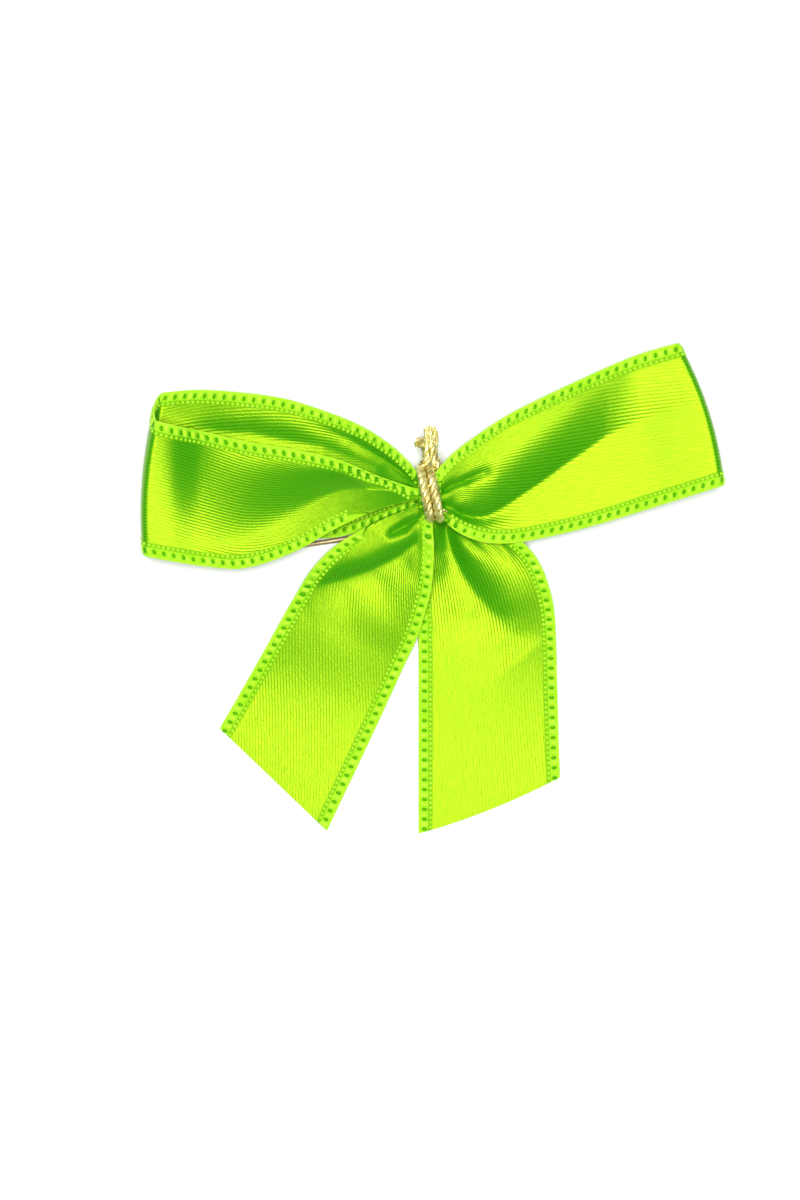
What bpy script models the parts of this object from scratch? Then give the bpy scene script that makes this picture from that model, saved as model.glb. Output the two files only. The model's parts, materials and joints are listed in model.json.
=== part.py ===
"""A pre-made satin gift bow: two flat loops and two cut tails of one ribbon, gathered under two
turns of gold cord, with a coated-wire tie behind for fastening it to a gift.

Sizes are metres. X runs across the loops, Y from the tails to the loops, Z away from the table.
The bow is drawn round its knot, and then stood over the origin by the centre of its box.
"""
import math

import bmesh
import bpy
from mathutils import Matrix, Vector

MM = 0.001

# Ribbon
RIBBON_WIDTH = 16.0 * MM
RIBBON_THICKNESS = 0.30 * MM
COLUMNS = 10                     # strips across the ribbon's width

# Loops: reach is from the knot's centre to the middle of the fold
LOOP_LEFT_REACH = 32.35 * MM
LOOP_LEFT_ANGLE = 175.5
LOOP_RIGHT_REACH = 32.45 * MM
LOOP_RIGHT_ANGLE = 16.5
FOLD_RADIUS = 2.1 * MM           # of the ribbon's middle surface where a loop turns back
FOLD_CROWN = 0.85 * MM           # how far the middle of a fold stands out past its edges
FRONT_RISE = 0.45 * MM           # the front layer bows up
BACK_SAG = 0.60 * MM             # the back layer hangs down
ROOT_RISE = 0.9 * MM             # the layers start this far above and below the knot's middle
FRONT_GATHER = 0.35 * MM         # depth of the gathers beside the knot
BACK_GATHER = 0.25 * MM
TAIL_GATHER = 0.30 * MM
GATHER_COUNT = 2

# Tails: length is along the middle line, from the knot to the cut end
TAIL_LEFT_LENGTH = 36.45 * MM
TAIL_LEFT_ANGLE = 239.0
TAIL_LEFT_BEND = 11.0 * MM       # distance of its bending line from the knot
TAIL_RIGHT_LENGTH = 35.0 * MM     # to the middle of its cut's straight line
TAIL_RIGHT_ANGLE = 271.1
TAIL_RIGHT_BEND = 16.0 * MM
TAIL_RIGHT_OVERLAP = 1.75 * MM   # half its width less its middle line's distance from the knot
CUT_SLANT = 1.85 * MM            # half the slant of the left cut end, along the tail
CUT_SLANT_RIGHT = 2.95 * MM
CUT_BOW = 0.7 * MM               # the right cut end bows out in its middle
TAIL_STEP = 1.35 * MM            # how high the left tail's bending line is above where it lies
TAIL_LANDING = 8.0 * MM          # the left tail comes down to the table over this length

# The gathered middle under the cord
CENTRE_OVERHANG = 0.1 * MM       # it stands out past the cord's turns
CENTRE_SIDES = 36
CENTRE_FLUTES = 9
CENTRE_FLUTE_DEPTH = 0.06        # share of its size

# Gold cord: two turns round the gathers, and its twisted ends
CORD_DIAMETER = 0.95 * MM
CORD_SPACING = 0.15 * MM         # between the two turns
KNOT_WIDTH = 6.3 * MM            # outside the cord, along Y
KNOT_HEIGHT = 5.4 * MM           # outside the cord, along Z
CORD_LEAN = 0.28 * MM
CORD_TURNS = 2
STUB_LENGTH = 4.3 * MM           # the ends stand this far past the turns

# Wire tie: a soft wire in a coating
TIE_DIAMETER = 0.55 * MM
TIE_WALL = 0.11 * MM
TIE_CORE = 0.25 * MM
TIE_PITCH = 0.80 * MM            # between the two legs' middles
TIE_LEG = 21.5 * MM
TIE_HEADING = 188.5              # degrees, the way the legs lie
TIE_BARE_END = 0.6 * MM
TIE_LIFT = 0.03 * MM             # the tie lies this far clear of the table

# Fits
GAP = 0.30 * MM                  # between pieces that touch
ROOT_CLEARANCE = 1.30 * MM       # a loop's root swings past the cord
HINGE_INSET = 0.1 * MM           # a loop's hinge is this far inside its root
TAIL_ROOT_INSET = 0.5 * MM       # a tail's root starts this far nearer the knot than a loop's

GREEN = (0.26, 0.80, 0.012, 1.0)
GOLD = (0.72, 0.55, 0.22, 1.0)
TAN = (0.55, 0.43, 0.24, 1.0)
STEEL = (0.55, 0.55, 0.57, 1.0)

CORD_RADIUS = CORD_DIAMETER / 2
CORD_PITCH = CORD_DIAMETER + CORD_SPACING
TIE_RADIUS = TIE_DIAMETER / 2
TIE_Z = TIE_RADIUS + TIE_LIFT
LIE = RIBBON_THICKNESS / 2       # middle surface of a ribbon that lies on the table
CORD_BOTTOM = TIE_DIAMETER + 1.5 * GAP
KNOT_Z = CORD_BOTTOM + KNOT_HEIGHT / 2
CORD_HALF_SPAN = CORD_PITCH / 2 + CORD_RADIUS + CORD_LEAN
ROOT_START = CORD_HALF_SPAN + ROOT_CLEARANCE
HINGE_REACH = ROOT_START - HINGE_INSET
FRONT_ROOT_Z = KNOT_Z + ROOT_RISE
BACK_ROOT_Z = KNOT_Z - ROOT_RISE
TAIL_RIGHT_SHIFT = RIBBON_WIDTH / 2 - TAIL_RIGHT_OVERLAP
FOLD_TOP_Z = LIE + 2 * FOLD_RADIUS


# ---------------------------------------------------------------- scene helpers
def clear_scene():
    for thing in list(bpy.data.objects):
        bpy.data.objects.remove(thing, do_unlink=True)


def new_collection(name):
    group = bpy.data.collections.new(name)
    bpy.context.scene.collection.children.link(group)
    return group


def material(name, colour, roughness, metallic=0.0):
    mat = bpy.data.materials.new(name)
    mat.use_nodes = True
    shader = mat.node_tree.nodes["Principled BSDF"]
    shader.inputs["Base Color"].default_value = colour
    shader.inputs["Roughness"].default_value = roughness
    shader.inputs["Metallic"].default_value = metallic
    return mat


def place(name, mesh, mat, group, frame, origin=None):
    """An object whose mesh, drawn round the knot, is moved to its own origin."""
    origin = Vector(origin or (0.0, 0.0, 0.0))
    mesh.transform(Matrix.Translation(-origin))
    mesh.materials.clear()
    mesh.materials.append(mat)
    piece = bpy.data.objects.new(name, mesh)
    piece.location = origin
    piece.parent = frame
    group.objects.link(piece)
    return piece


# ---------------------------------------------------------------- plane frames
def heading(degrees):
    return Vector((math.cos(math.radians(degrees)), math.sin(math.radians(degrees)), 0.0))


def spot(angle, side, along, across, z, shift=0.0):
    """A point of a lobe: along its heading, across it towards its upper or left edge, and up."""
    ahead = heading(angle)
    beside = Vector((-ahead.y, ahead.x, 0.0)) * side
    return ahead * along + beside * across + Vector((shift, 0.0, z))


def lift_axis(angle):
    """The axis that lifts a lobe with this heading when it turns by the right-hand rule."""
    ahead = heading(angle)
    return Vector((ahead.y, -ahead.x, 0.0))


def blend(a, b, share):
    return a + (b - a) * share


def ease(share):
    share = min(max(share, 0.0), 1.0)
    return share * share * (3 - 2 * share)


# ---------------------------------------------------------------- ribbon surfaces
def smooth_path(points, steps):
    """Points on the smooth curve through the given ones, with this many steps to each span."""
    ends = [points[0] * 2 - points[1], *points, points[-1] * 2 - points[-2]]
    path = []
    for before, start, end, after in zip(ends, ends[1:], ends[2:], ends[3:]):
        first = (end - start).length
        slope_in = (end - before) * (first / max((end - before).length, 1e-9))
        slope_out = (after - start) * (first / max((after - start).length, 1e-9))
        for step in range(steps):
            t = step / steps
            path.append(
                start * (2 * t**3 - 3 * t**2 + 1) + slope_in * (t**3 - 2 * t**2 + t)
                + end * (3 * t**2 - 2 * t**3) + slope_out * (t**3 - t**2)
            )
    path.append(points[-1].copy())
    return path


def strip_mesh(name, lower, upper, crown):
    """An open strip between two edge paths; crown(row share, column share) is added to a point."""
    rows = len(lower)
    points = []
    for row, (low, high) in enumerate(zip(lower, upper)):
        for column in range(COLUMNS + 1):
            share = column / COLUMNS
            points.append(blend(low, high, share) + crown(row / (rows - 1), share))
    width = COLUMNS + 1
    faces = [
        (row * width + column, row * width + column + 1, (row + 1) * width + column + 1,
         (row + 1) * width + column)
        for row in range(rows - 1) for column in range(COLUMNS)
    ]
    mesh = bpy.data.meshes.new(name)
    mesh.from_pydata([tuple(p) for p in points], [], faces)
    mesh.shade_smooth()
    return mesh


def thicken(piece, thickness, offset):
    shell = piece.modifiers.new("thickness", "SOLIDIFY")
    shell.thickness = thickness
    shell.offset = offset
    shell.use_even_offset = False
    return piece


def pleats(depth, count, share):
    """Gathers: waves across the ribbon that are gone at its edges."""
    return depth * math.sin(math.pi * share) * math.cos(2 * math.pi * count * share)


# A loop's layer is a list of ribs: how far each edge's end is from the root to the fold, as a
# share, and how far across from the loop's middle line, in ribbon widths.
# (lower along, lower across, upper along, upper across)
LEFT_FRONT = [
    (0.000, -0.044, 0.000, 0.028), (0.095, -0.119, 0.124, 0.097), (0.270, -0.274, 0.292, 0.194),
    (0.454, -0.480, 0.488, 0.246), (0.649, -0.619, 0.690, 0.276), (0.813, -0.628, 0.853, 0.309),
    (1.000, -0.584, 1.000, 0.350),
]
LEFT_BACK = [
    (0.000, -0.020, 0.000, 0.188), (0.111, -0.140, 0.098, 0.338), (0.260, -0.250, 0.260, 0.469),
    (0.427, -0.319, 0.445, 0.556), (0.630, -0.344, 0.668, 0.609), (0.813, -0.394, 0.853, 0.616),
    (1.000, -0.450, 1.000, 0.581),
]
RIGHT_FRONT = [
    (0.000, -0.215, 0.000, 0.172), (0.040, -0.369, 0.056, 0.234), (0.110, -0.444, 0.130, 0.280),
    (0.253, -0.498, 0.263, 0.351), (0.393, -0.522, 0.412, 0.406), (0.594, -0.528, 0.631, 0.463),
    (0.813, -0.530, 0.827, 0.506), (1.017, -0.519, 0.983, 0.522),
]
RIGHT_BACK = [
    (0.000, -0.020, 0.000, 0.138), (0.111, -0.150, 0.111, 0.213), (0.241, -0.270, 0.241, 0.288),
    (0.427, -0.380, 0.427, 0.375), (0.798, -0.475, 0.798, 0.469), (1.017, -0.494, 0.983, 0.494),
]


def layer_paths(ribs, angle, side, fold_start, root_z, fold_z, bow):
    """The lower and upper edge points of one layer of a loop, root first."""
    edges = []
    for end in (0, 2):
        edge = []
        for rib in ribs:
            share, across = rib[end], rib[end + 1]
            z = blend(root_z, fold_z, min(share, 1.0)) + bow * math.sin(math.pi * min(share, 1.0))
            along = blend(ROOT_START, fold_start, share)
            edge.append(spot(angle, side, along, across * RIBBON_WIDTH, z))
        edges.append(edge)
    return edges


def fold_path(start, end, angle, steps):
    """A half circle from the front layer's last point to the back layer's, bulging ahead."""
    middle = (start + end) / 2
    spoke = (start - end) / 2
    ahead = heading(angle) * FOLD_RADIUS
    turns = [math.pi * step / steps for step in range(1, steps)]
    return [middle + spoke * math.cos(turn) + ahead * math.sin(turn) for turn in turns]


def loop_mesh(name, angle, side, reach, front, back):
    fold_start = reach - FOLD_CROWN - FOLD_RADIUS
    front_edges = layer_paths(front, angle, side, fold_start, FRONT_ROOT_Z, FOLD_TOP_Z, FRONT_RISE)
    back_edges = layer_paths(back, angle, side, fold_start, BACK_ROOT_Z, LIE, -BACK_SAG)
    fold_steps = 6
    paths = []
    for top, bottom in zip(front_edges, back_edges):
        outward = smooth_path(top, 2)
        inward = smooth_path(bottom[::-1], 2)
        paths.append(outward + fold_path(outward[-1], inward[0], angle, fold_steps) + inward)
    rows = len(paths[0])
    front_rows = 2 * len(front) - 1
    back_rows = 2 * len(back) - 1
    ahead = heading(angle)
    up = Vector((0.0, 0.0, 1.0))

    def crown(row_share, share):
        row = round(row_share * (rows - 1))
        hump = 4 * share * (1 - share)
        if row < front_rows:
            fade = row / (front_rows - 1)
            waves = pleats(FRONT_GATHER * (1 - fade) ** 2, GATHER_COUNT, share)
            return up * waves + ahead * (FOLD_CROWN * hump * fade**4)
        if row >= rows - back_rows:
            fade = (rows - 1 - row) / (back_rows - 1)
            waves = pleats(BACK_GATHER * (1 - fade) ** 2, GATHER_COUNT, share)
            return up * waves + ahead * (FOLD_CROWN * hump * fade**4)
        return ahead * (FOLD_CROWN * hump)

    return strip_mesh(name, paths[0], paths[1], crown)


# The left tail's inner edge, beside the right tail: how far along the tail as a share, how far across
# from the line through the knot, and the tail's width there in ribbon widths.
TAIL_LEFT_EDGE = [
    (0.00, -6.1 * MM, 0.775), (0.14, -7.0 * MM, 0.875), (0.36, -7.6 * MM, 0.910),
    (0.68, -8.55 * MM, 0.960), (1.00, -9.45 * MM, 1.020),
]


def tail_left_gather_paths():
    bend = TAIL_LEFT_BEND - GAP / 2
    bend_z = LIE + TAIL_STEP
    root_x = -ROOT_START + TAIL_ROOT_INSET
    side_y = -KNOT_WIDTH / 2
    right = [
        (root_x, side_y + 0.95 * MM, KNOT_Z - 0.5 * MM),
        (-1.3 * MM, side_y - 0.55 * MM, KNOT_Z - 0.7 * MM),
        (0.2 * MM, side_y - 1.5 * MM, KNOT_Z - 1.1 * MM), (0.4 * MM, side_y - 3.5 * MM, KNOT_Z - 1.6 * MM),
    ]
    left = [
        (root_x, side_y + 2.1 * MM, KNOT_Z - 0.5 * MM),
        (-0.25 * RIBBON_WIDTH, side_y + 1.0 * MM, KNOT_Z - 0.7 * MM),
        (-0.406 * RIBBON_WIDTH, side_y - 0.2 * MM, KNOT_Z - 1.1 * MM),
        (-0.525 * RIBBON_WIDTH, side_y - 1.3 * MM, KNOT_Z - 1.6 * MM),
    ]
    inner = TAIL_LEFT_EDGE[0][1]
    outer = inner + TAIL_LEFT_EDGE[0][2] * RIBBON_WIDTH
    right = [Vector(p) for p in right] + [spot(TAIL_LEFT_ANGLE, -1, bend, inner, bend_z)]
    left = [Vector(p) for p in left] + [spot(TAIL_LEFT_ANGLE, -1, bend, outer, bend_z)]
    return smooth_path(right, 2), smooth_path(left, 2)


def tail_left_paths():
    bend = TAIL_LEFT_BEND + GAP / 2
    paths = []
    for widths, slant in ((0, CUT_SLANT), (1, -CUT_SLANT)):
        end = TAIL_LEFT_LENGTH + slant
        edge = [
            spot(TAIL_LEFT_ANGLE, -1, blend(bend, end, share), inner + widths * width * RIBBON_WIDTH, 0.0)
            for share, inner, width in TAIL_LEFT_EDGE
        ]
        paths.append(smooth_path(edge, 4))
    for path in paths:
        for point in path:
            along = point.dot(heading(TAIL_LEFT_ANGLE))
            point.z = LIE + TAIL_STEP * (1 - ease((along - TAIL_LEFT_BEND) / TAIL_LANDING))
    return paths


def tail_right_gather_paths():
    bend = TAIL_RIGHT_BEND - GAP / 2
    half = RIBBON_WIDTH / 2
    root_x = ROOT_START - TAIL_ROOT_INSET
    side_y = -KNOT_WIDTH / 2
    left = [
        (root_x, side_y + 0.95 * MM, KNOT_Z - 0.6 * MM),
        (1.3 * MM, side_y - 0.6 * MM, KNOT_Z - 1.3 * MM),
        (0.9 * MM, side_y - 2.1 * MM, KNOT_Z - 2.1 * MM), (-0.2 * MM, side_y - 5.4 * MM, LIE + 0.75 * MM),
        (-1.0 * MM, side_y - 8.9 * MM, LIE + 0.3 * MM),
    ]
    right = [
        (root_x, side_y + 2.1 * MM, KNOT_Z - 0.6 * MM),
        (0.288 * RIBBON_WIDTH, side_y + 1.1 * MM, KNOT_Z - 1.3 * MM),
        (0.513 * RIBBON_WIDTH, side_y - 0.6 * MM, KNOT_Z - 1.7 * MM),
        (0.750 * RIBBON_WIDTH, side_y - 4.2 * MM, LIE + 1.35 * MM),
        (0.863 * RIBBON_WIDTH, side_y - 8.7 * MM, LIE + 0.65 * MM),
    ]
    left = [Vector(p) for p in left]
    right = [Vector(p) for p in right]
    left.append(spot(TAIL_RIGHT_ANGLE, -1, bend, 0.97 * half, LIE, TAIL_RIGHT_SHIFT))
    right.append(spot(TAIL_RIGHT_ANGLE, -1, bend, -0.95 * half, LIE, TAIL_RIGHT_SHIFT))
    return smooth_path(left, 2), smooth_path(right, 2)


def tail_right_paths():
    bend = TAIL_RIGHT_BEND + GAP / 2
    half = RIBBON_WIDTH / 2
    paths = []
    for across, slant in ((0.97, CUT_SLANT_RIGHT), (-0.98, -CUT_SLANT_RIGHT)):
        end = TAIL_RIGHT_LENGTH + slant
        edge = [
            spot(TAIL_RIGHT_ANGLE, -1, blend(bend, end, step / 5), across * half, LIE, TAIL_RIGHT_SHIFT)
            for step in range(6)
        ]
        paths.append(edge)
    return paths


def gather_crown(depth, count):
    def crown(row_share, share):
        return Vector((0.0, 0.0, pleats(depth * (1 - row_share) ** 1.5, count, share)))
    return crown


def flat_crown(row_share, share):
    """The right tail's cut end bows out a little in the middle."""
    return heading(TAIL_RIGHT_ANGLE) * (CUT_BOW * 4 * share * (1 - share) * row_share**3)


def no_crown(row_share, share):
    return Vector((0.0, 0.0, 0.0))


# ---------------------------------------------------------------- the gathered middle
def centre_mesh(name):
    """The ribbon's layers squeezed under the cord: a fluted bundle along X."""
    half_w = KNOT_WIDTH / 2 - CORD_DIAMETER - GAP
    low = CORD_BOTTOM + CORD_DIAMETER + TIE_DIAMETER + GAP
    high = CORD_BOTTOM + KNOT_HEIGHT - CORD_DIAMETER - 0.5 * GAP
    middle_z, half_h = (low + high) / 2, (high - low) / 2
    half_l = CORD_HALF_SPAN + CENTRE_OVERHANG
    sides = CENTRE_SIDES
    flutes = CENTRE_FLUTES
    flute = CENTRE_FLUTE_DEPTH
    stations = [(-1.0, 1.06), (-0.5, 0.97), (0.0, 0.95), (0.5, 0.97), (1.0, 1.06)]
    points, faces = [], []
    for along, swell in stations:
        for n in range(sides):
            turn = 2 * math.pi * n / sides
            size = swell * (1 - flute + flute * math.cos(flutes * turn))
            points.append((along * half_l, half_w * size * math.cos(turn),
                           middle_z + half_h * size * math.sin(turn)))
    for ring in range(len(stations) - 1):
        for n in range(sides):
            a, b = ring * sides + n, ring * sides + (n + 1) % sides
            faces.append((a, b, b + sides, a + sides))
    faces.append(tuple(range(sides))[::-1])
    faces.append(tuple((len(stations) - 1) * sides + n for n in range(sides)))
    mesh = bpy.data.meshes.new(name)
    mesh.from_pydata(points, [], faces)
    mesh.shade_smooth()
    mesh.set_sharp_from_angle(angle=math.radians(50))
    return mesh


# ---------------------------------------------------------------- cord and wires
def tube_mesh(name, points, diameter, resolution, caps=True):
    """A round tube through the points, as a mesh whose end caps are welded on."""
    curve = bpy.data.curves.new(name + "_path", "CURVE")
    curve.dimensions = "3D"
    curve.bevel_depth = diameter / 2
    curve.bevel_resolution = resolution
    curve.use_fill_caps = caps
    line = curve.splines.new("POLY")
    line.points.add(len(points) - 1)
    for knot, point in zip(line.points, points):
        knot.co = (*point, 1.0)
    guide = bpy.data.objects.new(name + "_guide", curve)
    bpy.context.scene.collection.objects.link(guide)
    bpy.context.view_layer.update()
    graph = bpy.context.evaluated_depsgraph_get()
    mesh = bpy.data.meshes.new_from_object(guide.evaluated_get(graph))
    mesh.name = name
    bpy.data.objects.remove(guide, do_unlink=True)
    bpy.data.curves.remove(curve)
    weld(mesh)
    mesh.shade_smooth()
    mesh.set_sharp_from_angle(angle=math.radians(60))
    return mesh


def weld(mesh):
    shape = bmesh.new()
    shape.from_mesh(mesh)
    bmesh.ops.remove_doubles(shape, verts=shape.verts, dist=1e-6)
    bmesh.ops.recalc_face_normals(shape, faces=shape.faces)
    shape.to_mesh(mesh)
    shape.free()


def cord_points():
    """One end, two turns over the front and behind, and the other end."""
    half_w = KNOT_WIDTH / 2 - CORD_RADIUS
    half_h = KNOT_HEIGHT / 2 - CORD_RADIUS
    per_turn = 24
    ring = []
    for step in range(CORD_TURNS * per_turn + 1):
        turn = 2 * math.pi * step / per_turn
        y = half_w * math.cos(turn)
        x = CORD_PITCH * ((turn - math.pi / 2) / (2 * math.pi) - 0.5) - CORD_LEAN * y / half_w
        ring.append(Vector((x, y, KNOT_Z + half_h * math.sin(turn))))
    top = KNOT_WIDTH / 2
    end = top + STUB_LENGTH
    first = [
        (-1.05 * MM, top + 2.75 * MM, KNOT_Z + 0.7 * MM), (-0.80 * MM, top + 2.1 * MM, KNOT_Z + 0.35 * MM),
        (-0.42 * MM, top + 1.4 * MM, KNOT_Z), (-0.5 * MM, top + 0.6 * MM, KNOT_Z - 0.3 * MM),
        (-0.85 * MM, top, KNOT_Z - 0.45 * MM),
    ]
    last = [
        (0.95 * MM, top, KNOT_Z + 0.45 * MM), (0.80 * MM, top + 0.7 * MM, KNOT_Z + 0.3 * MM),
        (0.72 * MM, top + 1.6 * MM, KNOT_Z), (0.5 * MM, top + 2.8 * MM, KNOT_Z),
        (0.2 * MM, end, KNOT_Z + 0.2 * MM),
    ]
    return [Vector(p) for p in first] + ring + [Vector(p) for p in last]


def tie_hinge(leg):
    """The hinge point of a leg of the tie; leg 0 is the upper one and leg 1 the lower."""
    slope = math.tan(math.radians(TIE_HEADING - 180))
    x = (-3.15 * MM, 1.35 * MM)[leg]
    y = -KNOT_WIDTH / 2 + 0.47 * MM - leg * TIE_PITCH + slope * x
    return Vector((x, y, TIE_Z))


def leg_points(leg):
    ahead = heading(TIE_HEADING)
    start = tie_hinge(leg) + ahead * (GAP / 2)
    extra = tie_hinge(1).x - tie_hinge(0).x if leg else 0.0
    length = TIE_LEG + extra
    return start, ahead, length


def neck_points():
    """From the upper leg's hinge, between cord and ribbon, round the cord to the lower leg's."""
    ahead = heading(TIE_HEADING)
    upper = tie_hinge(0) - ahead * (GAP / 2)
    lower = tie_hinge(1) - ahead * (GAP / 2)
    inside_z = CORD_BOTTOM + CORD_DIAMETER + TIE_RADIUS + 0.4 * GAP
    turn_x = CORD_PITCH * 1.5 + CORD_RADIUS + TIE_RADIUS + GAP
    return [
        upper, upper - ahead * 0.5 * MM, Vector((-1.75 * MM, -2.3 * MM, 1.2 * MM)),
        Vector((-1.15 * MM, -1.15 * MM, inside_z - 0.25 * MM)), Vector((-0.4 * MM, -0.6 * MM, inside_z)),
        Vector((0.6 * MM, -0.5 * MM, inside_z)), Vector((turn_x - 0.7 * MM, -0.7 * MM, inside_z - 0.1 * MM)),
        Vector((turn_x, -1.3 * MM, inside_z - 0.7 * MM)), Vector((turn_x + 0.1 * MM, -2.1 * MM, 1.1 * MM)),
        Vector((turn_x - 0.2 * MM, -2.85 * MM, TIE_Z + 0.15 * MM)), lower - ahead * 0.35 * MM, lower,
    ]


def wire_pieces(name, points, tip, group, frame, origin, coating, metal):
    """A coating tube with its wire core, which shows past the coating by tip at the last point."""
    core_points = list(points)
    first = (points[1] - points[0]).normalized()
    last = (points[-1] - points[-2]).normalized()
    core_points[0] = points[0] + first * 0.05 * MM
    core_points[-1] = points[-1] + last * tip
    tube = tube_mesh(name + "_coating", points, TIE_DIAMETER, 1, caps=False)
    sleeve = place(name + "_coating", tube, coating, group, frame, origin)
    thicken(sleeve, TIE_WALL, -1)
    core = tube_mesh(name + "_core", core_points, TIE_CORE, 1)
    place(name + "_core", core, metal, group, frame, origin)


# ---------------------------------------------------------------- assembly
def loop_hinge(angle):
    return heading(angle) * HINGE_REACH + Vector((0.0, 0.0, KNOT_Z))


def build():
    clear_scene()
    group = new_collection("gift_bow")
    frame = bpy.data.objects.new("bow_frame", None)
    group.objects.link(frame)
    satin = material("green_satin", GREEN, 0.32)
    gold = material("gold_cord", GOLD, 0.35, 0.85)
    tan = material("tan_coating", TAN, 0.45)
    steel = material("wire", STEEL, 0.35, 1.0)

    place("ribbon_centre", centre_mesh("ribbon_centre"), satin, group, frame)
    cord = tube_mesh("binding_cord", cord_points(), CORD_DIAMETER, 2)
    place("binding_cord", cord, gold, group, frame)

    loops = (
        ("loop_left", LOOP_LEFT_ANGLE, -1, LOOP_LEFT_REACH, LEFT_FRONT, LEFT_BACK),
        ("loop_right", LOOP_RIGHT_ANGLE, 1, LOOP_RIGHT_REACH, RIGHT_FRONT, RIGHT_BACK),
    )
    for name, angle, side, reach, front, back in loops:
        mesh = loop_mesh(name, angle, side, reach, front, back)
        thicken(place(name, mesh, satin, group, frame, loop_hinge(angle)), RIBBON_THICKNESS, 0)

    left_bend = heading(TAIL_LEFT_ANGLE) * TAIL_LEFT_BEND + Vector((0.0, 0.0, LIE + TAIL_STEP))
    right_bend = heading(TAIL_RIGHT_ANGLE) * TAIL_RIGHT_BEND + Vector((TAIL_RIGHT_SHIFT, 0.0, LIE))
    tails = (
        ("tail_left_gather", tail_left_gather_paths(), gather_crown(TAIL_GATHER, GATHER_COUNT), None),
        ("tail_right_gather", tail_right_gather_paths(), gather_crown(TAIL_GATHER, GATHER_COUNT), None),
        ("tail_left", tail_left_paths(), no_crown, left_bend),
        ("tail_right", tail_right_paths(), flat_crown, right_bend),
    )
    for name, (one, other), crown, origin in tails:
        mesh = strip_mesh(name, one, other, crown)
        thicken(place(name, mesh, satin, group, frame, origin), RIBBON_THICKNESS, 0)

    wire_pieces("tie_neck", smooth_path(neck_points(), 2), -0.05 * MM, group, frame, None, tan, steel)
    for leg, name in enumerate(("tie_upper", "tie_lower")):
        start, ahead, length = leg_points(leg)
        points = [start + ahead * (length * step / 6) for step in range(7)]
        wire_pieces(name, points, TIE_BARE_END, group, frame, tie_hinge(leg), tan, steel)

    stand_over_origin(frame, group)


def stand_over_origin(frame, group):
    """Move the whole bow so that the middle of its box is over the origin."""
    bpy.context.view_layer.update()
    graph = bpy.context.evaluated_depsgraph_get()
    corners = [
        piece.matrix_world @ Vector(corner)
        for piece in group.objects if piece.type == "MESH"
        for corner in piece.evaluated_get(graph).bound_box
    ]
    for axis in (0, 1):
        values = [corner[axis] for corner in corners]
        frame.location[axis] -= (min(values) + max(values)) / 2
    frame.location.z -= min(corner.z for corner in corners)
    bpy.context.view_layer.update()


build()
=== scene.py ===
"""The finish of a pre-made satin gift bow: satin ribbon with woven selvages, two turns of gold cord and
a coated-wire tie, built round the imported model. Sizes in the tables are millimetres from the knot's
centre across and along the bow, and from the table upwards."""
import json
import math
import random

import bpy
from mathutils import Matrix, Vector

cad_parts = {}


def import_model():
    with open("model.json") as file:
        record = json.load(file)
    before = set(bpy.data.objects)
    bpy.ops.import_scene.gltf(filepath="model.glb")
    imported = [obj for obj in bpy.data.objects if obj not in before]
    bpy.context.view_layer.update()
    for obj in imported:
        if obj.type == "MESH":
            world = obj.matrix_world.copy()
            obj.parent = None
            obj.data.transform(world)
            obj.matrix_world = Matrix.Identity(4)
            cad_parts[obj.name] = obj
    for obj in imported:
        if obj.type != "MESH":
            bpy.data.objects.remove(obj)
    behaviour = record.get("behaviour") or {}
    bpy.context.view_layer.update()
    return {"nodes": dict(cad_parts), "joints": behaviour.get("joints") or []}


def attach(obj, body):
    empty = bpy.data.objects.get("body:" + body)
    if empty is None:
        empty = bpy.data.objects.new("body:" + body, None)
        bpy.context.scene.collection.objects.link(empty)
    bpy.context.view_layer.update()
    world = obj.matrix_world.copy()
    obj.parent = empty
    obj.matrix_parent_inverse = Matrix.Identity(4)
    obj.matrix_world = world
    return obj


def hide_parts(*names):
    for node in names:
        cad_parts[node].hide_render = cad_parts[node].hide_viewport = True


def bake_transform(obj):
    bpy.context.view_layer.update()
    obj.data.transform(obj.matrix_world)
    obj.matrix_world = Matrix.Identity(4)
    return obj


MM = 0.001

# Ribbon
RIBBON_WIDTH = 16.0
RIBBON_THICKNESS = 0.20
SELVAGE_WIDTH = 1.6
SELVAGE_MOST = 0.30              # share of the width that a selvage takes where the ribbon is gathered
ROW_STEP = 0.30                  # of the ribbon's mesh, along it
COLUMNS = 54
LIE = 0.20                       # middle surface of cloth that lies on the table
LIE_SOFTNESS = 0.03

# Loops
LOOP_LEFT_ANGLE = 175.5
LOOP_RIGHT_ANGLE = 16.5
HINGE_REACH = 2.505
FOLD_RADIUS = 0.8
FOLD_RIBS = 9
SPAN_STEPS = 14                  # of the smooth path, from rib to rib
FOLD_CROWN_LEFT = 0.65           # how far the middle of a fold bulges past its edges
FOLD_CROWN_RIGHT = 0.85
CROWN_RIBS = 2.5                 # the bulge fades out over so many ribs
RELIEF_RIBS = 1.5                # the ridges and hollows fade out so many ribs from the fold
BACK_PHASE = 0.3
LOOP_BEND_START = 1.4            # where a lifted loop starts and ends to bend, from the knot's centre
LOOP_BEND_END = 6.5

# Tails
TAIL_LEFT_ANGLE = 239.0
TAIL_LEFT_BEND = 11.0
TAIL_RIGHT_ANGLE = 271.1
TAIL_RIGHT_BEND = 16.0
TAIL_RIGHT_SHIFT = 6.25
TAIL_BEND_REACH = 3.0            # a lifted tail bends this far on each side of its line
CUT_BOW_RIGHT = 0.5              # how far the right tail's cut bulges from a straight line
CUT_BOW_RIBS = 2.0

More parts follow.
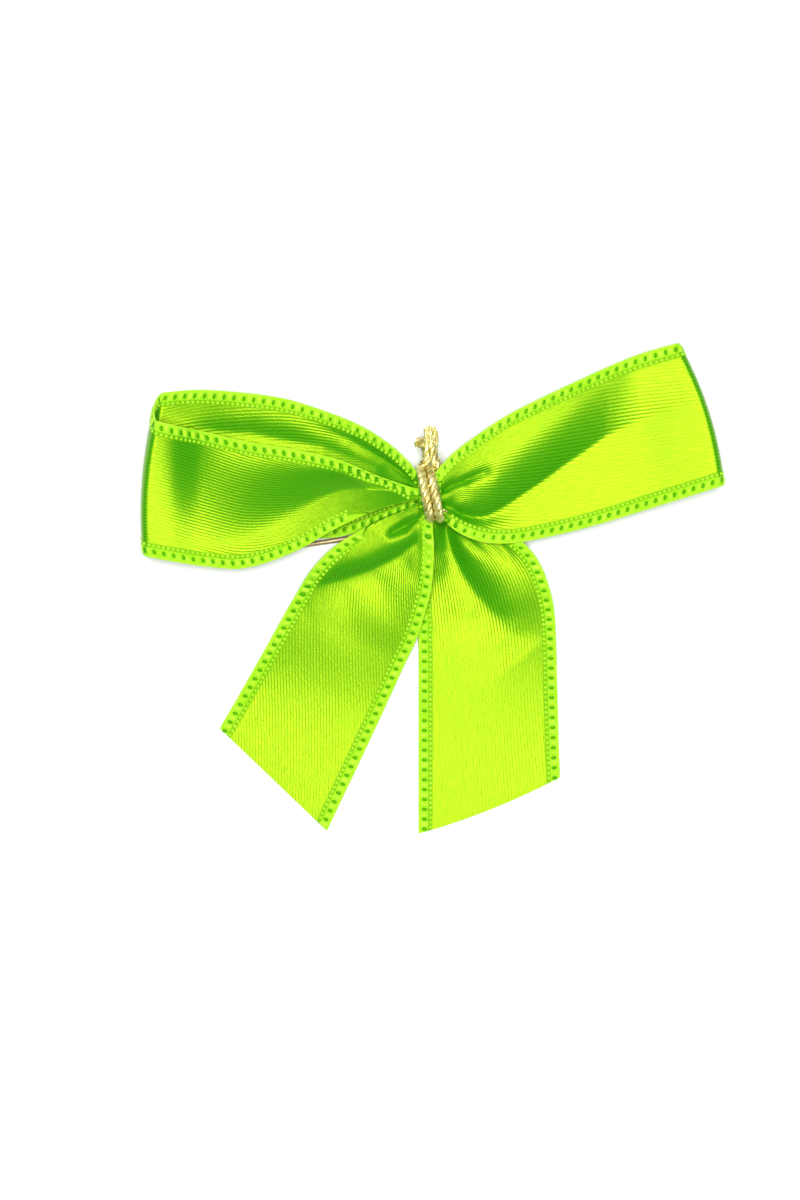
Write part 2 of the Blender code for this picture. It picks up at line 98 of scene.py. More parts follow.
# Edges rolled under beside the knot
ROLL_WIDTH = 2.2
ROLL_DEPTH = 0.55
ROLL_FLATNESS = 0.8
LOOP_LEFT_ROLL = (1.4, 3.3)      # ribs between which the edge turns out flat
LOOP_RIGHT_ROLL = (0.6, 2.6)
TAIL_LEFT_ROLL = (2.6, 5.2)
TAIL_RIGHT_ROLL = (-1.0, 0.0)
INWARD_COLUMNS = 4               # an edge's inward direction is taken over so many columns

# Selvage yarns
TOOTH_PITCH = 1.10
TOOTH_LENGTH = 1.25
TOOTH_WIDTH = 0.66
TOOTH_HEIGHT = 0.52
TOOTH_PLACE = 0.60               # of its middle, in from the edge
TOOTH_SLANT = 0.30
GAP_LENGTH = 0.95
GAP_WIDTH = 0.60
GAP_HEIGHT = 0.30
GAP_PLACE = 0.66
BEAD_PITCH = 0.55
BEAD_SIZE = 0.42
BEAD_PLACE = 1.36
RIM_WIDTH = 0.26
RIM_PLACE = 0.10

# Gold cord
CORD_DIAMETER = 0.95
CORD_SPACING = 0.15
CORD_BOTTOM = 1.0                # above the table
CORD_LEAN = 0.28
CORD_TURNS = 2
TURN_STEPS = 40
KNOT_WIDTH = 6.3
KNOT_HEIGHT = 5.4
STUB_LENGTH = 4.3
STRANDS = 3
STRAND_DIAMETER = 0.60
STRAND_ORBIT = 0.27
STRAND_PITCH = 2.7
STRAND_SIDES = 10
STRAND_STEP = 0.10
FIBRE_DIAMETER = 0.26

# Gathered middle of the ribbon, under the cord
MIDDLE_CLEARANCE = 0.05
MIDDLE_HALF_HEIGHT = 1.35
MIDDLE_HALF_LENGTH = 1.25
MIDDLE_Z = 3.95
MIDDLE_STATIONS = 16
MIDDLE_SIDES = 120
MIDDLE_FLUTES = 13
MIDDLE_FLUTE_DEPTH = 0.05

# Wire tie
TIE_DIAMETER = 0.55
TIE_PITCH = 0.80
TIE_HINGES = (-3.15, 1.35)       # of the upper and the lower leg, across from the knot's centre
TIE_INSET = 0.47                 # of the upper leg, in from the knot's edge
TIE_LEG = 21.5
TIE_BEND_LENGTH = 1.6
TIE_CORE = 0.25
TIE_BARE_END = 0.6
TIE_STEPS = 80
TIE_HEADING = 188.5
TIE_LIFT = 0.03

# Light and camera, in metres
TABLE_HALF = 1.5
SKY_STRENGTH = 0.24
LIGHT_PLACE = (0.0, 0.02, 0.62)
LIGHT_SIZE = 0.31
LIGHT_POWER = 4.9
CAMERA_SHIFT = (-0.00336, -0.01176)
CAMERA_HEIGHT = 0.375
CAMERA_LENS = 100
CAMERA_FILM = 36

CORD_RADIUS = CORD_DIAMETER / 2
CORD_PITCH = CORD_DIAMETER + CORD_SPACING
TIE_RADIUS = TIE_DIAMETER / 2
TIE_Z = TIE_RADIUS + TIE_LIFT
KNOT_Z = CORD_BOTTOM + KNOT_HEIGHT / 2

random.seed(11)
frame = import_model()


# ---------------------------------------------------------------- places
def heading(degrees):
    return Vector((math.cos(math.radians(degrees)), math.sin(math.radians(degrees)), 0.0))


def knot_centre():
    """The middle of the knot on the table, from the left loop's hinge."""
    hinge = next(j for j in frame["joints"] if j["name"] == "loop_left_lift")
    place = Vector(hinge["pos_m"]) - heading(LOOP_LEFT_ANGLE) * HINGE_REACH * MM
    return Vector((place.x, place.y, 0.0))


KNOT = knot_centre()


def world(point):
    return KNOT + Vector(point) * MM


def blend(a, b, share):
    return a + (b - a) * share


def ease(share):
    share = min(max(share, 0.0), 1.0)
    return share * share * (3 - 2 * share)


# ---------------------------------------------------------------- ribbon surfaces
# Ribs across the ribbon: lower edge x, y, z, then upper edge x, y, z.
LEFT_LOOP_FRONT = [
    (-0.2, -0.55, 4.75, -0.2, 0.50, 5.00), (-1.5, -0.60, 4.65, -1.5, 0.60, 4.90),
    (-5.2, -1.50, 4.75, -5.7, 2.00, 3.30), (-10.1, -3.60, 4.45, -10.1, 3.90, 2.10),
    (-15.3, -6.45, 4.20, -15.3, 5.15, 1.45), (-20.7, -8.20, 4.10, -20.7, 6.05, 1.30),
    (-25.1, -8.00, 4.10, -25.6, 7.15, 2.10), (-28.4, -7.50, 4.35, -28.2, 7.60, 3.90),
    (-31.4, -6.94, 4.45, -30.2, 8.06, 4.50),
]
# Where a front layer's slope between its edges starts and ends: shares of its width, rib by rib.
LEFT_FRONT_SLOPE = [
    (0.5, 1.0), (0.55, 1.0), (0.60, 0.95), (0.50, 0.88), (0.34, 0.92), (0.20, 0.96), (0.08, 1.0),
    (0.0, 1.0), (0.0, 1.0),
]
LEFT_LOOP_BACK = [
    (-30.9, -4.94, 0.15, -29.8, 11.56, 0.30), (-26.0, -4.90, 0.15, -26.0, 11.80, 0.90),
    (-21.0, -4.80, 0.15, -21.5, 11.50, 1.60), (-15.5, -4.80, 0.30, -16.5, 10.80, 1.90),
    (-10.4, -4.70, 0.90, -12.2, 9.50, 2.10), (-6.0, -3.40, 1.80, -7.8, 7.70, 2.60),
    (-3.4, -2.30, 2.40, -4.7, 5.70, 3.30), (-2.1, -1.60, 2.70, -2.6, 3.80, 3.80),
    (-1.4, -1.20, 2.90, -1.4, 2.40, 4.10), (-0.2, -0.90, 3.10, -0.2, 1.80, 4.30),
]
RIGHT_LOOP_FRONT = [
    (0.3, -1.60, 4.00, 0.3, 1.90, 4.70), (1.3, -2.60, 3.70, 1.3, 3.20, 4.85),
    (2.4, -3.70, 3.50, 2.9, 4.80, 5.00), (4.2, -4.75, 3.30, 5.2, 6.50, 5.05),
    (6.6, -5.40, 3.20, 8.2, 8.50, 5.05), (9.6, -5.35, 3.10, 11.4, 10.20, 5.00),
    (14.3, -4.45, 3.10, 15.6, 12.20, 4.75), (19.3, -3.15, 3.25, 19.8, 14.15, 4.35),
    (24.5, -1.55, 3.60, 22.8, 15.40, 4.15), (29.0, -0.15, 4.15, 25.2, 16.15, 4.40),
    (32.16, 0.84, 4.50, 27.16, 16.69, 4.60),
]
RIGHT_FRONT_SLOPE = [
    (0.0, 1.0), (0.05, 1.0), (0.12, 0.9), (0.18, 0.75), (0.26, 0.70), (0.35, 0.76), (0.47, 0.84),
    (0.56, 0.94), (0.58, 1.0), (0.60, 1.0), (0.60, 1.0),
]
RIGHT_LOOP_BACK = [
    (31.66, 1.14, 0.15, 26.66, 16.24, 0.15), (25.0, -0.70, 0.15, 22.0, 14.20, 0.15),
    (19.0, -2.30, 0.20, 17.0, 12.10, 0.30), (13.5, -3.50, 0.50, 12.0, 9.30, 0.70),
    (8.5, -3.60, 1.20, 8.0, 6.70, 1.40), (5.0, -2.60, 2.00, 5.0, 4.60, 2.10),
    (2.6, -1.40, 2.80, 2.6, 2.90, 2.90), (0.3, -1.00, 3.20, 0.3, 1.50, 3.50),
]
# The tails' ribs: inner edge, then outer edge.
TAIL_LEFT = [
    (-0.1, -1.90, 3.30, -0.4, -0.80, 3.80), (0.15, -2.90, 3.50, -1.3, -1.00, 3.80),
    (0.3, -4.30, 3.65, -3.0, -1.80, 3.75), (0.4, -6.60, 3.50, -5.2, -2.70, 3.70),
    (0.3, -8.80, 3.20, -7.4, -3.80, 3.65), (0.05, -10.90, 2.75, -9.8, -5.20, 3.55),
    (-0.5, -13.00, 2.25, -11.7, -6.70, 3.35), (-1.5, -16.10, 1.60, -13.6, -8.90, 2.90),
    (-3.0, -19.30, 1.00, -15.9, -12.70, 1.80), (-5.5, -24.80, 0.40, -18.9, -18.00, 0.70),
    (-8.4, -31.00, 0.20, -21.3, -22.20, 0.20), (-11.6, -37.70, 0.20, -23.6, -26.20, 0.20),
]
TAIL_RIGHT = [
    (-0.2, -1.60, 1.70, 1.0, -0.90, 2.50), (-0.8, -2.80, 1.60, 2.4, -1.90, 2.70),
    (-1.3, -4.60, 1.50, 5.0, -2.90, 2.80), (-1.4, -6.80, 1.40, 7.8, -3.90, 2.80),
    (-1.4, -9.20, 1.30, 10.2, -5.20, 2.70), (-1.35, -12.00, 1.15, 12.1, -7.40, 2.50),
    (-1.3, -14.80, 0.95, 13.3, -10.30, 2.10), (-1.25, -17.60, 0.70, 13.9, -13.00, 1.60),
    (-1.25, -21.00, 0.45, 14.15, -17.00, 1.00), (-1.25, -26.00, 0.25, 14.3, -22.00, 0.50),
    (-1.25, -32.00, 0.20, 14.45, -27.00, 0.20), (-1.25, -38.00, 0.20, 14.6, -31.70, 0.20),
]

# Ridges and hollows of a layer: lines of x, y, height, and their reach to the left and to the right.
LEFT_FRONT_RELIEF = [
    [(-1.0, 0.0, -0.3, 0.2, 0.2), (-1.8, 0.1, -0.2, 0.2, 0.2), (-2.6, 0.3, 0.0, 0.2, 0.2)],
    [(-10.0, -5.4, -0.2, 1.5, 1.5), (-14.5, -7.6, -0.5, 2.2, 2.2), (-20.0, -9.4, -0.6, 2.6, 2.6),
     (-26.0, -9.2, -0.5, 2.6, 2.6), (-30.0, -8.2, -0.1, 2.0, 2.0)],
]
LEFT_BACK_RELIEF = [
    [(-2.4, 2.0, -0.5, 0.4, 0.4), (-5.0, 3.9, -0.7, 0.7, 0.5), (-9.0, 6.2, -0.6, 1.2, 0.8),
     (-12.5, 7.6, -0.3, 1.8, 1.2)],
    [(-28.0, 7.0, -0.7, 1.2, 3.2), (-20.0, 6.8, -0.8, 1.2, 3.2), (-12.0, 5.2, -0.7, 1.0, 2.8),
     (-6.0, 3.0, -0.4, 0.6, 1.2)],
]
RIGHT_FRONT_RELIEF = [
    [(1.5, -1.2, -0.6, 0.3, 0.3), (3.6, -2.2, -0.8, 0.6, 0.5), (6.2, -2.6, -0.5, 0.9, 0.9),
     (9.0, -1.6, -0.2, 1.2, 1.4)],
    [(1.5, 0.5, -0.8, 0.3, 0.3), (3.6, 1.4, -0.7, 0.45, 0.45), (6.0, 2.4, -0.3, 0.6, 0.6)],
    [(1.6, -2.0, 0.3, 0.3, 0.3), (3.4, -3.2, 0.4, 0.5, 0.5), (5.2, -4.2, 0.1, 0.6, 0.6)],
]
RIGHT_BACK_RELIEF = []
TAIL_LEFT_RELIEF = [
    [(-13.6, -10.6, -0.5, 0.8, 4.0), (-10.0, -9.6, -1.0, 0.7, 5.0), (-6.4, -8.4, -1.1, 0.6, 5.0),
     (-3.6, -6.9, -1.1, 0.6, 3.5), (-1.8, -5.5, -0.8, 0.5, 2.0), (-0.6, -4.6, -0.3, 0.5, 1.0)],
    [(-1.4, -2.6, -0.5, 0.3, 0.3), (-2.8, -3.5, -0.9, 0.5, 0.5), (-4.3, -4.3, -0.5, 0.4, 0.4)],
]
TAIL_RIGHT_RELIEF = [
    [(1.7, -3.4, -1.6, 0.8, 0.6), (2.3, -6.2, -1.7, 1.0, 2.0), (3.4, -9.0, -1.5, 1.6, 5.0),
     (5.2, -11.6, -1.3, 1.8, 6.0), (7.0, -13.7, -0.8, 2.0, 6.0), (8.8, -15.8, -0.35, 2.8, 6.0),
     (10.6, -18.0, -0.05, 4.0, 5.0)],
    [(2.2, -3.4, -0.4, 0.35, 0.35), (4.4, -5.2, -0.4, 0.5, 0.5), (6.4, -6.8, -0.1, 0.6, 0.6)],
    [(6.6, -4.4, -0.5, 0.6, 0.6), (8.4, -6.2, -0.4, 0.8, 0.8), (9.6, -8.0, -0.1, 1.0, 1.0)],
]
HOLLOW_ROUNDING = 0.5
RIDGE_ROUNDING = 1.0
CREASE_FADE = 0.25
CREASE_SIDE_SOFTNESS = 0.15
CREASE_NEAR = 0.05


def rib_ends(ribs):
    return [Vector(rib[:3]) for rib in ribs], [Vector(rib[3:]) for rib in ribs]


def smooth_path(points, steps):
    """Points on the smooth curve through the given ones, with this many steps to each span."""
    ends = [points[0] * 2 - points[1], *points, points[-1] * 2 - points[-2]]
    path = []
    for before, start, end, after in zip(ends, ends[1:], ends[2:], ends[3:]):
        span = (end - start).length
        slope_in = (end - before) * (span / max((end - before).length, 1e-6))
        slope_out = (after - start) * (span / max((after - start).length, 1e-6))
        for step in range(steps):
            t = step / steps
            path.append(
                start * (2 * t**3 - 3 * t**2 + 1) + slope_in * (t**3 - 2 * t**2 + t)
                + end * (3 * t**2 - 2 * t**3) + slope_out * (t**3 - t**2)
            )
    path.append(points[-1].copy())
    return path


def even_rows(lower, upper, step):
    """The two edges taken again at even steps along the middle line: place in ribs, low, high, along."""
    middle = [(low + high) / 2 for low, high in zip(lower, upper)]
    reached = [0.0]
    for start, end in zip(middle, middle[1:]):
        reached.append(reached[-1] + (end - start).length)
    count = max(round(reached[-1] / step), 2)
    rows, at = [], 0
    for row in range(count + 1):
        target = reached[-1] * row / count
        while at < len(reached) - 2 and reached[at + 1] < target:
            at += 1
        share = (target - reached[at]) / max(reached[at + 1] - reached[at], 1e-9)
        rows.append((
            (at + share) / SPAN_STEPS, blend(lower[at], lower[at + 1], share),
            blend(upper[at], upper[at + 1], share), target,
        ))
    return rows


def width_share(cloth, width):
    """Where a point of the cloth, 0 to 1 across it, comes on a gathered ribbon of this width: the
    selvages stay flat while the satin between them gathers."""
    band = SELVAGE_WIDTH / RIBBON_WIDTH
    shown = min(SELVAGE_WIDTH, SELVAGE_MOST * width) / width
    if cloth < band:
        return cloth / band * shown
    if cloth > 1 - band:
        return 1 - (1 - cloth) / band * shown
    return blend(shown, 1 - shown, (cloth - band) / (1 - 2 * band))


def crease(line, x, y):
    """One ridge's height at a place: steepest beside its line, and a different reach on each side."""
    total, weights = 0.0, 0.0
    rounding = HOLLOW_ROUNDING if line[0][2] < 0 else RIDGE_ROUNDING
    for (ax, ay, ah, al, ar), (bx, by, bh, bl, br) in zip(line, line[1:]):
        dx, dy = bx - ax, by - ay
        length = math.hypot(dx, dy)
        t = ((x - ax) * dx + (y - ay) * dy) / (length * length)
        t = min(max(t, 0.0), 1.0)
        away = math.hypot(x - ax - t * dx, y - ay - t * dy)
        leftward = (dx * (y - ay) - dy * (x - ax)) / length / (away + CREASE_SIDE_SOFTNESS)
        reach = blend(blend(ar, br, t), blend(al, bl, t), (1 + leftward) / 2)
        u = away / reach
        slope = math.sqrt(u * u + rounding * rounding) - rounding
        weight = 1 / (away * away + CREASE_NEAR) ** 2
        total += weight * blend(ah, bh, t) * math.exp(-slope - CREASE_FADE * u * u)
        weights += weight
    return total / weights


def relief_at(x, y, lines):
    """The height that the ridges and hollows add at a place."""
    return sum(crease(line, x, y) for line in lines)


def rest_on_table(z):
    """Cloth that would pass through the table lies on it instead, with a soft bend."""
    clear = z - LIE
    return LIE + (clear + math.sqrt(clear * clear + LIE_SOFTNESS)) / 2


def pleat_wave(cloth, count, phase):
    """Gathers across the ribbon, flat at its selvages."""
    return math.sin(math.pi * cloth) ** 0.5 * math.cos(2 * math.pi * (count * cloth + phase))


def rolled_share(cloth, width, roll):
    """The same with an edge rolled under by this share: its place across, and how far it is under."""
    share = width_share(cloth, width)
    if roll == 0:
        return share, 0.0
    folded = width_share(ROLL_WIDTH / RIBBON_WIDTH, width)
    outermost = min(blend(0.0, folded * ROLL_FLATNESS, roll), blend(folded, 0.0, roll))
    if share > folded:
        place, under = blend(share, (share - folded) / (1 - folded), roll), 0.0
    else:
        place = blend(share, (folded - share) * ROLL_FLATNESS, roll)
        under = roll * math.sin(math.pi / 2 * (1 - share / folded))
    return (place - outermost) / (1 - outermost), under


def slope_share(slope, power, place, share):
    """How much of the height between its edges a front layer has reached at a share of its width. With
    a power the slope starts at a clear crease and flattens out; without one it is smooth at both ends."""
    rib = min(int(place), len(slope) - 2)
    start, end = (blend(slope[rib][n], slope[rib + 1][n], place - rib) for n in (0, 1))
    t = min(max((share - start) / (end - start), 0.0), 1.0)
    return ease(t) if power is None else 1 - (1 - t) ** power


def ribbon_surface(rows, shape, rolls=None, slope=None, power=None):
    """Rows of points; shape(place, cloth, point, along) gives the point that the cloth really has, and
    rolls(place) the shares by which its lower and upper edges are rolled under."""
    grid = []
    for place, low, high, along in rows:
        width = (high - low).length
        roll_low, roll_high = rolls(place) if rolls else (0.0, 0.0)
        line = []
        for column in range(COLUMNS + 1):
            cloth = column / COLUMNS
            if roll_high:
                share, under = rolled_share(1 - cloth, width, roll_high)
                share = 1 - share
            else:
                share, under = rolled_share(cloth, width, roll_low)
            point = blend(low, high, share)
            if slope and place < len(slope) - 1:
                point.z = blend(low.z, high.z, slope_share(slope, power, place, share))
            point.z -= ROLL_DEPTH * under
            line.append(shape(place, cloth, point, along))
        grid.append(line)
    return grid


def loop_surface(front, back, angle, front_relief, back_relief, crown, pleat, roll_ribs, slope, power):
    """One loop: its front layer, the fold and its back layer, from the knot and back to it."""
    ahead = heading(angle)
    edges = []
    for top, bottom in zip(rib_ends(front), rib_ends(back)):
        middle, spoke = (top[-1] + bottom[0]) / 2, (top[-1] - bottom[0]) / 2
        turns = [math.pi * n / (FOLD_RIBS + 1) for n in range(1, FOLD_RIBS + 1)]
        fold = [middle + spoke * math.cos(t) + ahead * FOLD_RADIUS * math.sin(t) for t in turns]
        edges.append(smooth_path(top + fold + bottom, SPAN_STEPS))
    rows = even_rows(*edges, ROW_STEP)
    last_front = len(front) - 1
    first_back = last_front + FOLD_RIBS + 1

    def shape(place, cloth, point, along):
        hump = 4 * cloth * (1 - cloth)
        on_front = ease((last_front - place) / RELIEF_RIBS)
        on_back = ease((place - first_back) / RELIEF_RIBS)
        reach = point.xy.length
        gather = ease(1 - reach / pleat["reach"]) if max(on_front, on_back) > 0 else 0.0
        lift = on_front * relief_at(point.x, point.y, front_relief)
        lift += on_back * relief_at(point.x, point.y, back_relief)
        if place < last_front:
            lift += gather * pleat["front"] * pleat_wave(cloth, pleat["count"], pleat["phase"])
            bulge = ease(1 - (last_front - place) / CROWN_RIBS)
        elif place > first_back:
            lift += gather * pleat["back"] * pleat_wave(cloth, pleat["count"], BACK_PHASE)
            bulge = ease(1 - (place - first_back) / CROWN_RIBS)
        else:
            bulge = 1.0
        shaped = point + ahead * (crown * hump * bulge) + Vector((0.0, 0.0, lift))
        shaped.z = rest_on_table(shaped.z)
        return shaped

    def rolls(place):
        return 1 - ease((place - roll_ribs[0]) / (roll_ribs[1] - roll_ribs[0])), 0.0

    return ribbon_surface(rows, shape, rolls, slope, power), rows[-1][3]


def tail_surface(ribs, relief, pleat, cut_bow, angle, roll_ribs):
    """One tail, from under the cord to its cut end."""
    rows = even_rows(*(smooth_path(edge, SPAN_STEPS) for edge in rib_ends(ribs)), ROW_STEP)
    end = len(ribs) - 1
    ahead = heading(angle)

    def shape(place, cloth, point, along):
        gather = ease(1 - along / pleat["reach"])
        lift = relief_at(point.x, point.y, relief)
        lift += gather * pleat["front"] * pleat_wave(cloth, pleat["count"], pleat["phase"])
        bow = cut_bow * 4 * cloth * (1 - cloth) * ease(1 - (end - place) / CUT_BOW_RIBS)
        shaped = point + ahead * bow + Vector((0.0, 0.0, lift))
        shaped.z = rest_on_table(shaped.z)
        return shaped

    def rolls(place):
        return 0.0, 1 - ease((place - roll_ribs[0]) / (roll_ribs[1] - roll_ribs[0]))

    return ribbon_surface(rows, shape, rolls), rows[-1][3]


def surface_mesh(name, grid, length):
    """The cloth as a mesh, with its own flat sizes in millimetres as its UV map. Its outline is sharp,
    so that the cloth is as bright at a cut end as inside it."""
    columns, rows = len(grid[0]), len(grid)
    points = [tuple(world(point)) for line in grid for point in line]
    faces = [
        (row * columns + column, row * columns + column + 1, (row + 1) * columns + column + 1,
         (row + 1) * columns + column)
        for row in range(rows - 1) for column in range(columns - 1)
    ]
    mesh = bpy.data.meshes.new(name)
    mesh.from_pydata(points, [], faces)
    flat = mesh.uv_layers.new(name="cloth")
    for loop in mesh.loops:
        row, column = divmod(loop.vertex_index, columns)
        flat.data[loop.index].uv = (column / (columns - 1) * RIBBON_WIDTH, row / (rows - 1) * length)
    mesh.shade_smooth()
    for edge in mesh.edges:
        places = [divmod(n, columns) for n in edge.vertices]
        edge.use_edge_sharp = (
            all(row in (0, rows - 1) for row, column in places)
            or all(column in (0, columns - 1) for row, column in places)
        )
    return mesh


def new_piece(name, mesh, finish=None):
    piece = bpy.data.objects.new(name, mesh)
    bpy.context.scene.collection.objects.link(piece)
    if finish:
        mesh.materials.clear()
        mesh.materials.append(finish)
    return piece


def thicken(piece, thickness):
    shell = piece.modifiers.new("thickness", "SOLIDIFY")
    shell.thickness = thickness * MM
    shell.offset = 0.0
    shell.use_even_offset = False
    return piece


def edge_guide(grid, side, hidden):
    """A line of points along one edge of the cloth, each with its inward and face directions. The
    first millimetres that are rolled under are left out."""
    shown = grid[max(round(hidden / ROW_STEP), 1):-1]
    lines = shown if side == 0 else [line[::-1] for line in shown]
    points, inward, face = [], [], []
    for row, line in enumerate(lines):
        before, after = lines[max(row - 1, 0)], lines[min(row + 1, len(lines) - 1)]
        ahead = after[1] - before[1]
        across = line[INWARD_COLUMNS] - line[0]
        up = ahead.cross(across) if side == 1 else across.cross(ahead)
        points.append(world(line[0]))
        inward.append(across.normalized())
        face.append(up.normalized())
    mesh = bpy.data.meshes.new("edge_line")
    mesh.from_pydata([tuple(p) for p in points], [(n, n + 1) for n in range(len(points) - 1)], [])
    for name, values in (("inward", inward), ("face", face)):
        layer = mesh.attributes.new(name, "FLOAT_VECTOR", "POINT")
        for n, value in enumerate(values):
            layer.data[n].vector = value
    return mesh


# ---------------------------------------------------------------- geometry node helpers
class Tree:
    """A geometry node group with named inputs, and short calls that add its nodes."""

    def __init__(self, name, inputs):
        self.group = bpy.data.node_groups.new(name, "GeometryNodeTree")
        face = self.group.interface
        face.new_socket("Geometry", in_out="INPUT", socket_type="NodeSocketGeometry")
        for label, kind, value in inputs:
            socket = face.new_socket(label, in_out="INPUT", socket_type=kind)
            if value is not None:
                socket.default_value = value
        face.new_socket("Geometry", in_out="OUTPUT", socket_type="NodeSocketGeometry")
        self.inputs = self.group.nodes.new("NodeGroupInput")
        self.output = self.group.nodes.new("NodeGroupOutput")

    def add(self, kind, settings=None, **sockets):
        node = self.group.nodes.new(kind)
        for key, value in (settings or {}).items():
            setattr(node, key, value)
        for key, value in sockets.items():
            self.feed(node, key, value)
        return node

    def feed(self, node, key, value):
        numbered = key[0] == "i" and key[1:].isdigit()
        socket = node.inputs[int(key[1:])] if numbered else node.inputs[key]
        if isinstance(value, bpy.types.NodeSocket):
            self.group.links.new(value, socket)
        else:
            socket.default_value = value

    def size(self, label):
        return self.inputs.outputs[label]

    def attribute(self, name):
        node = self.add("GeometryNodeInputNamedAttribute", {"data_type": "FLOAT_VECTOR"}, Name=name)
        return node.outputs["Attribute"]

    def times(self, vector, factor):
        node = self.add("ShaderNodeVectorMath", {"operation": "SCALE"}, i0=vector, Scale=factor)
        return node.outputs["Vector"]

    def plus(self, one, other):
        node = self.add("ShaderNodeVectorMath", {"operation": "ADD"}, i0=one, i1=other)
        return node.outputs["Vector"]

    def finish(self, geometry, finish_socket):
        solid = self.add("GeometryNodeRealizeInstances", Geometry=geometry)
        smooth = self.add("GeometryNodeSetShadeSmooth", Geometry=solid.outputs["Geometry"])
        dressed = self.add("GeometryNodeSetMaterial", Geometry=smooth.outputs["Geometry"],
                           Material=finish_socket)
        self.group.links.new(dressed.outputs["Geometry"], self.output.inputs["Geometry"])


def run_tree(name, meshes, tree, values):
    """Runs a tree on each guide mesh and gives the plain meshes that it makes."""
    parts = []
    for guide_mesh in meshes:
        guide = new_piece(name + "_guide", guide_mesh)
        maker = guide.modifiers.new("maker", "NODES")
        maker.node_group = tree.group
        for socket in tree.group.interface.items_tree:
            if socket.in_out == "INPUT" and socket.name in values:
                maker[socket.identifier] = values[socket.name]
        bpy.context.view_layer.update()
        graph = bpy.context.evaluated_depsgraph_get()
        parts.append(bpy.data.meshes.new_from_object(guide.evaluated_get(graph), depsgraph=graph))
        bpy.data.objects.remove(guide, do_unlink=True)
    return parts


def join_meshes(name, parts):
    pieces = [new_piece(f"{name}_{n}", part) for n, part in enumerate(parts)]
    if len(pieces) > 1:
        with bpy.context.temp_override(
            active_object=pieces[0], object=pieces[0], selected_objects=pieces,
            selected_editable_objects=pieces,
        ):
            bpy.ops.object.join()
    whole = pieces[0]
    whole.name = name
    whole.data.name = name
    return whole


def edge_row(tree, line, pitch, first, place, size, slant):
    """Balls along an edge, at every second half pitch from the first or second one."""
    inward, face = tree.attribute("inward"), tree.attribute("face")
    half = tree.add("ShaderNodeMath", {"operation": "MULTIPLY"}, i0=pitch, i1=0.5)
    points = tree.add("GeometryNodeResampleCurve", Curve=line)
    set_mode(points, "Length", "LENGTH")
    tree.feed(points, "Length", half.outputs["Value"])
    moved = tree.add("GeometryNodeSetPosition", Geometry=points.outputs["Curve"],
                     Offset=tree.times(inward, place))
    turn = tree.add("FunctionNodeAxesToRotation", {"primary_axis": "X", "secondary_axis": "Z"},
                    i0=inward, i1=face)
    lean = tree.add("FunctionNodeRotateRotation", {"rotation_space": "LOCAL"}, i0=turn.outputs["Rotation"])
    tilt = tree.add("FunctionNodeAxisAngleToRotation", Axis=(0.0, 0.0, 1.0), Angle=slant)
    tree.feed(lean, "i1", tilt.outputs["Rotation"])
    order = tree.add("GeometryNodeInputIndex").outputs["Index"]
    second = tree.add("ShaderNodeMath", {"operation": "MODULO"}, i0=order, i1=2.0).outputs["Value"]
    chosen = tree.add("ShaderNodeMath", {"operation": "COMPARE"}, i0=second, i1=first,
                      i2=0.1).outputs["Value"]
    ball = tree.add("GeometryNodeMeshUVSphere", Segments=8, Rings=6, Radius=0.5)
    placed = tree.add(
        "GeometryNodeInstanceOnPoints", Points=moved.outputs["Geometry"], Selection=chosen,
        Instance=ball.outputs["Mesh"], Rotation=lean.outputs["Rotation"], Scale=size,
    )
    return placed.outputs["Instances"]


def sizes_vector(tree, length, width, height):
    return tree.add("ShaderNodeCombineXYZ", X=tree.size(length), Y=tree.size(width),
                    Z=tree.size(height)).outputs["Vector"]


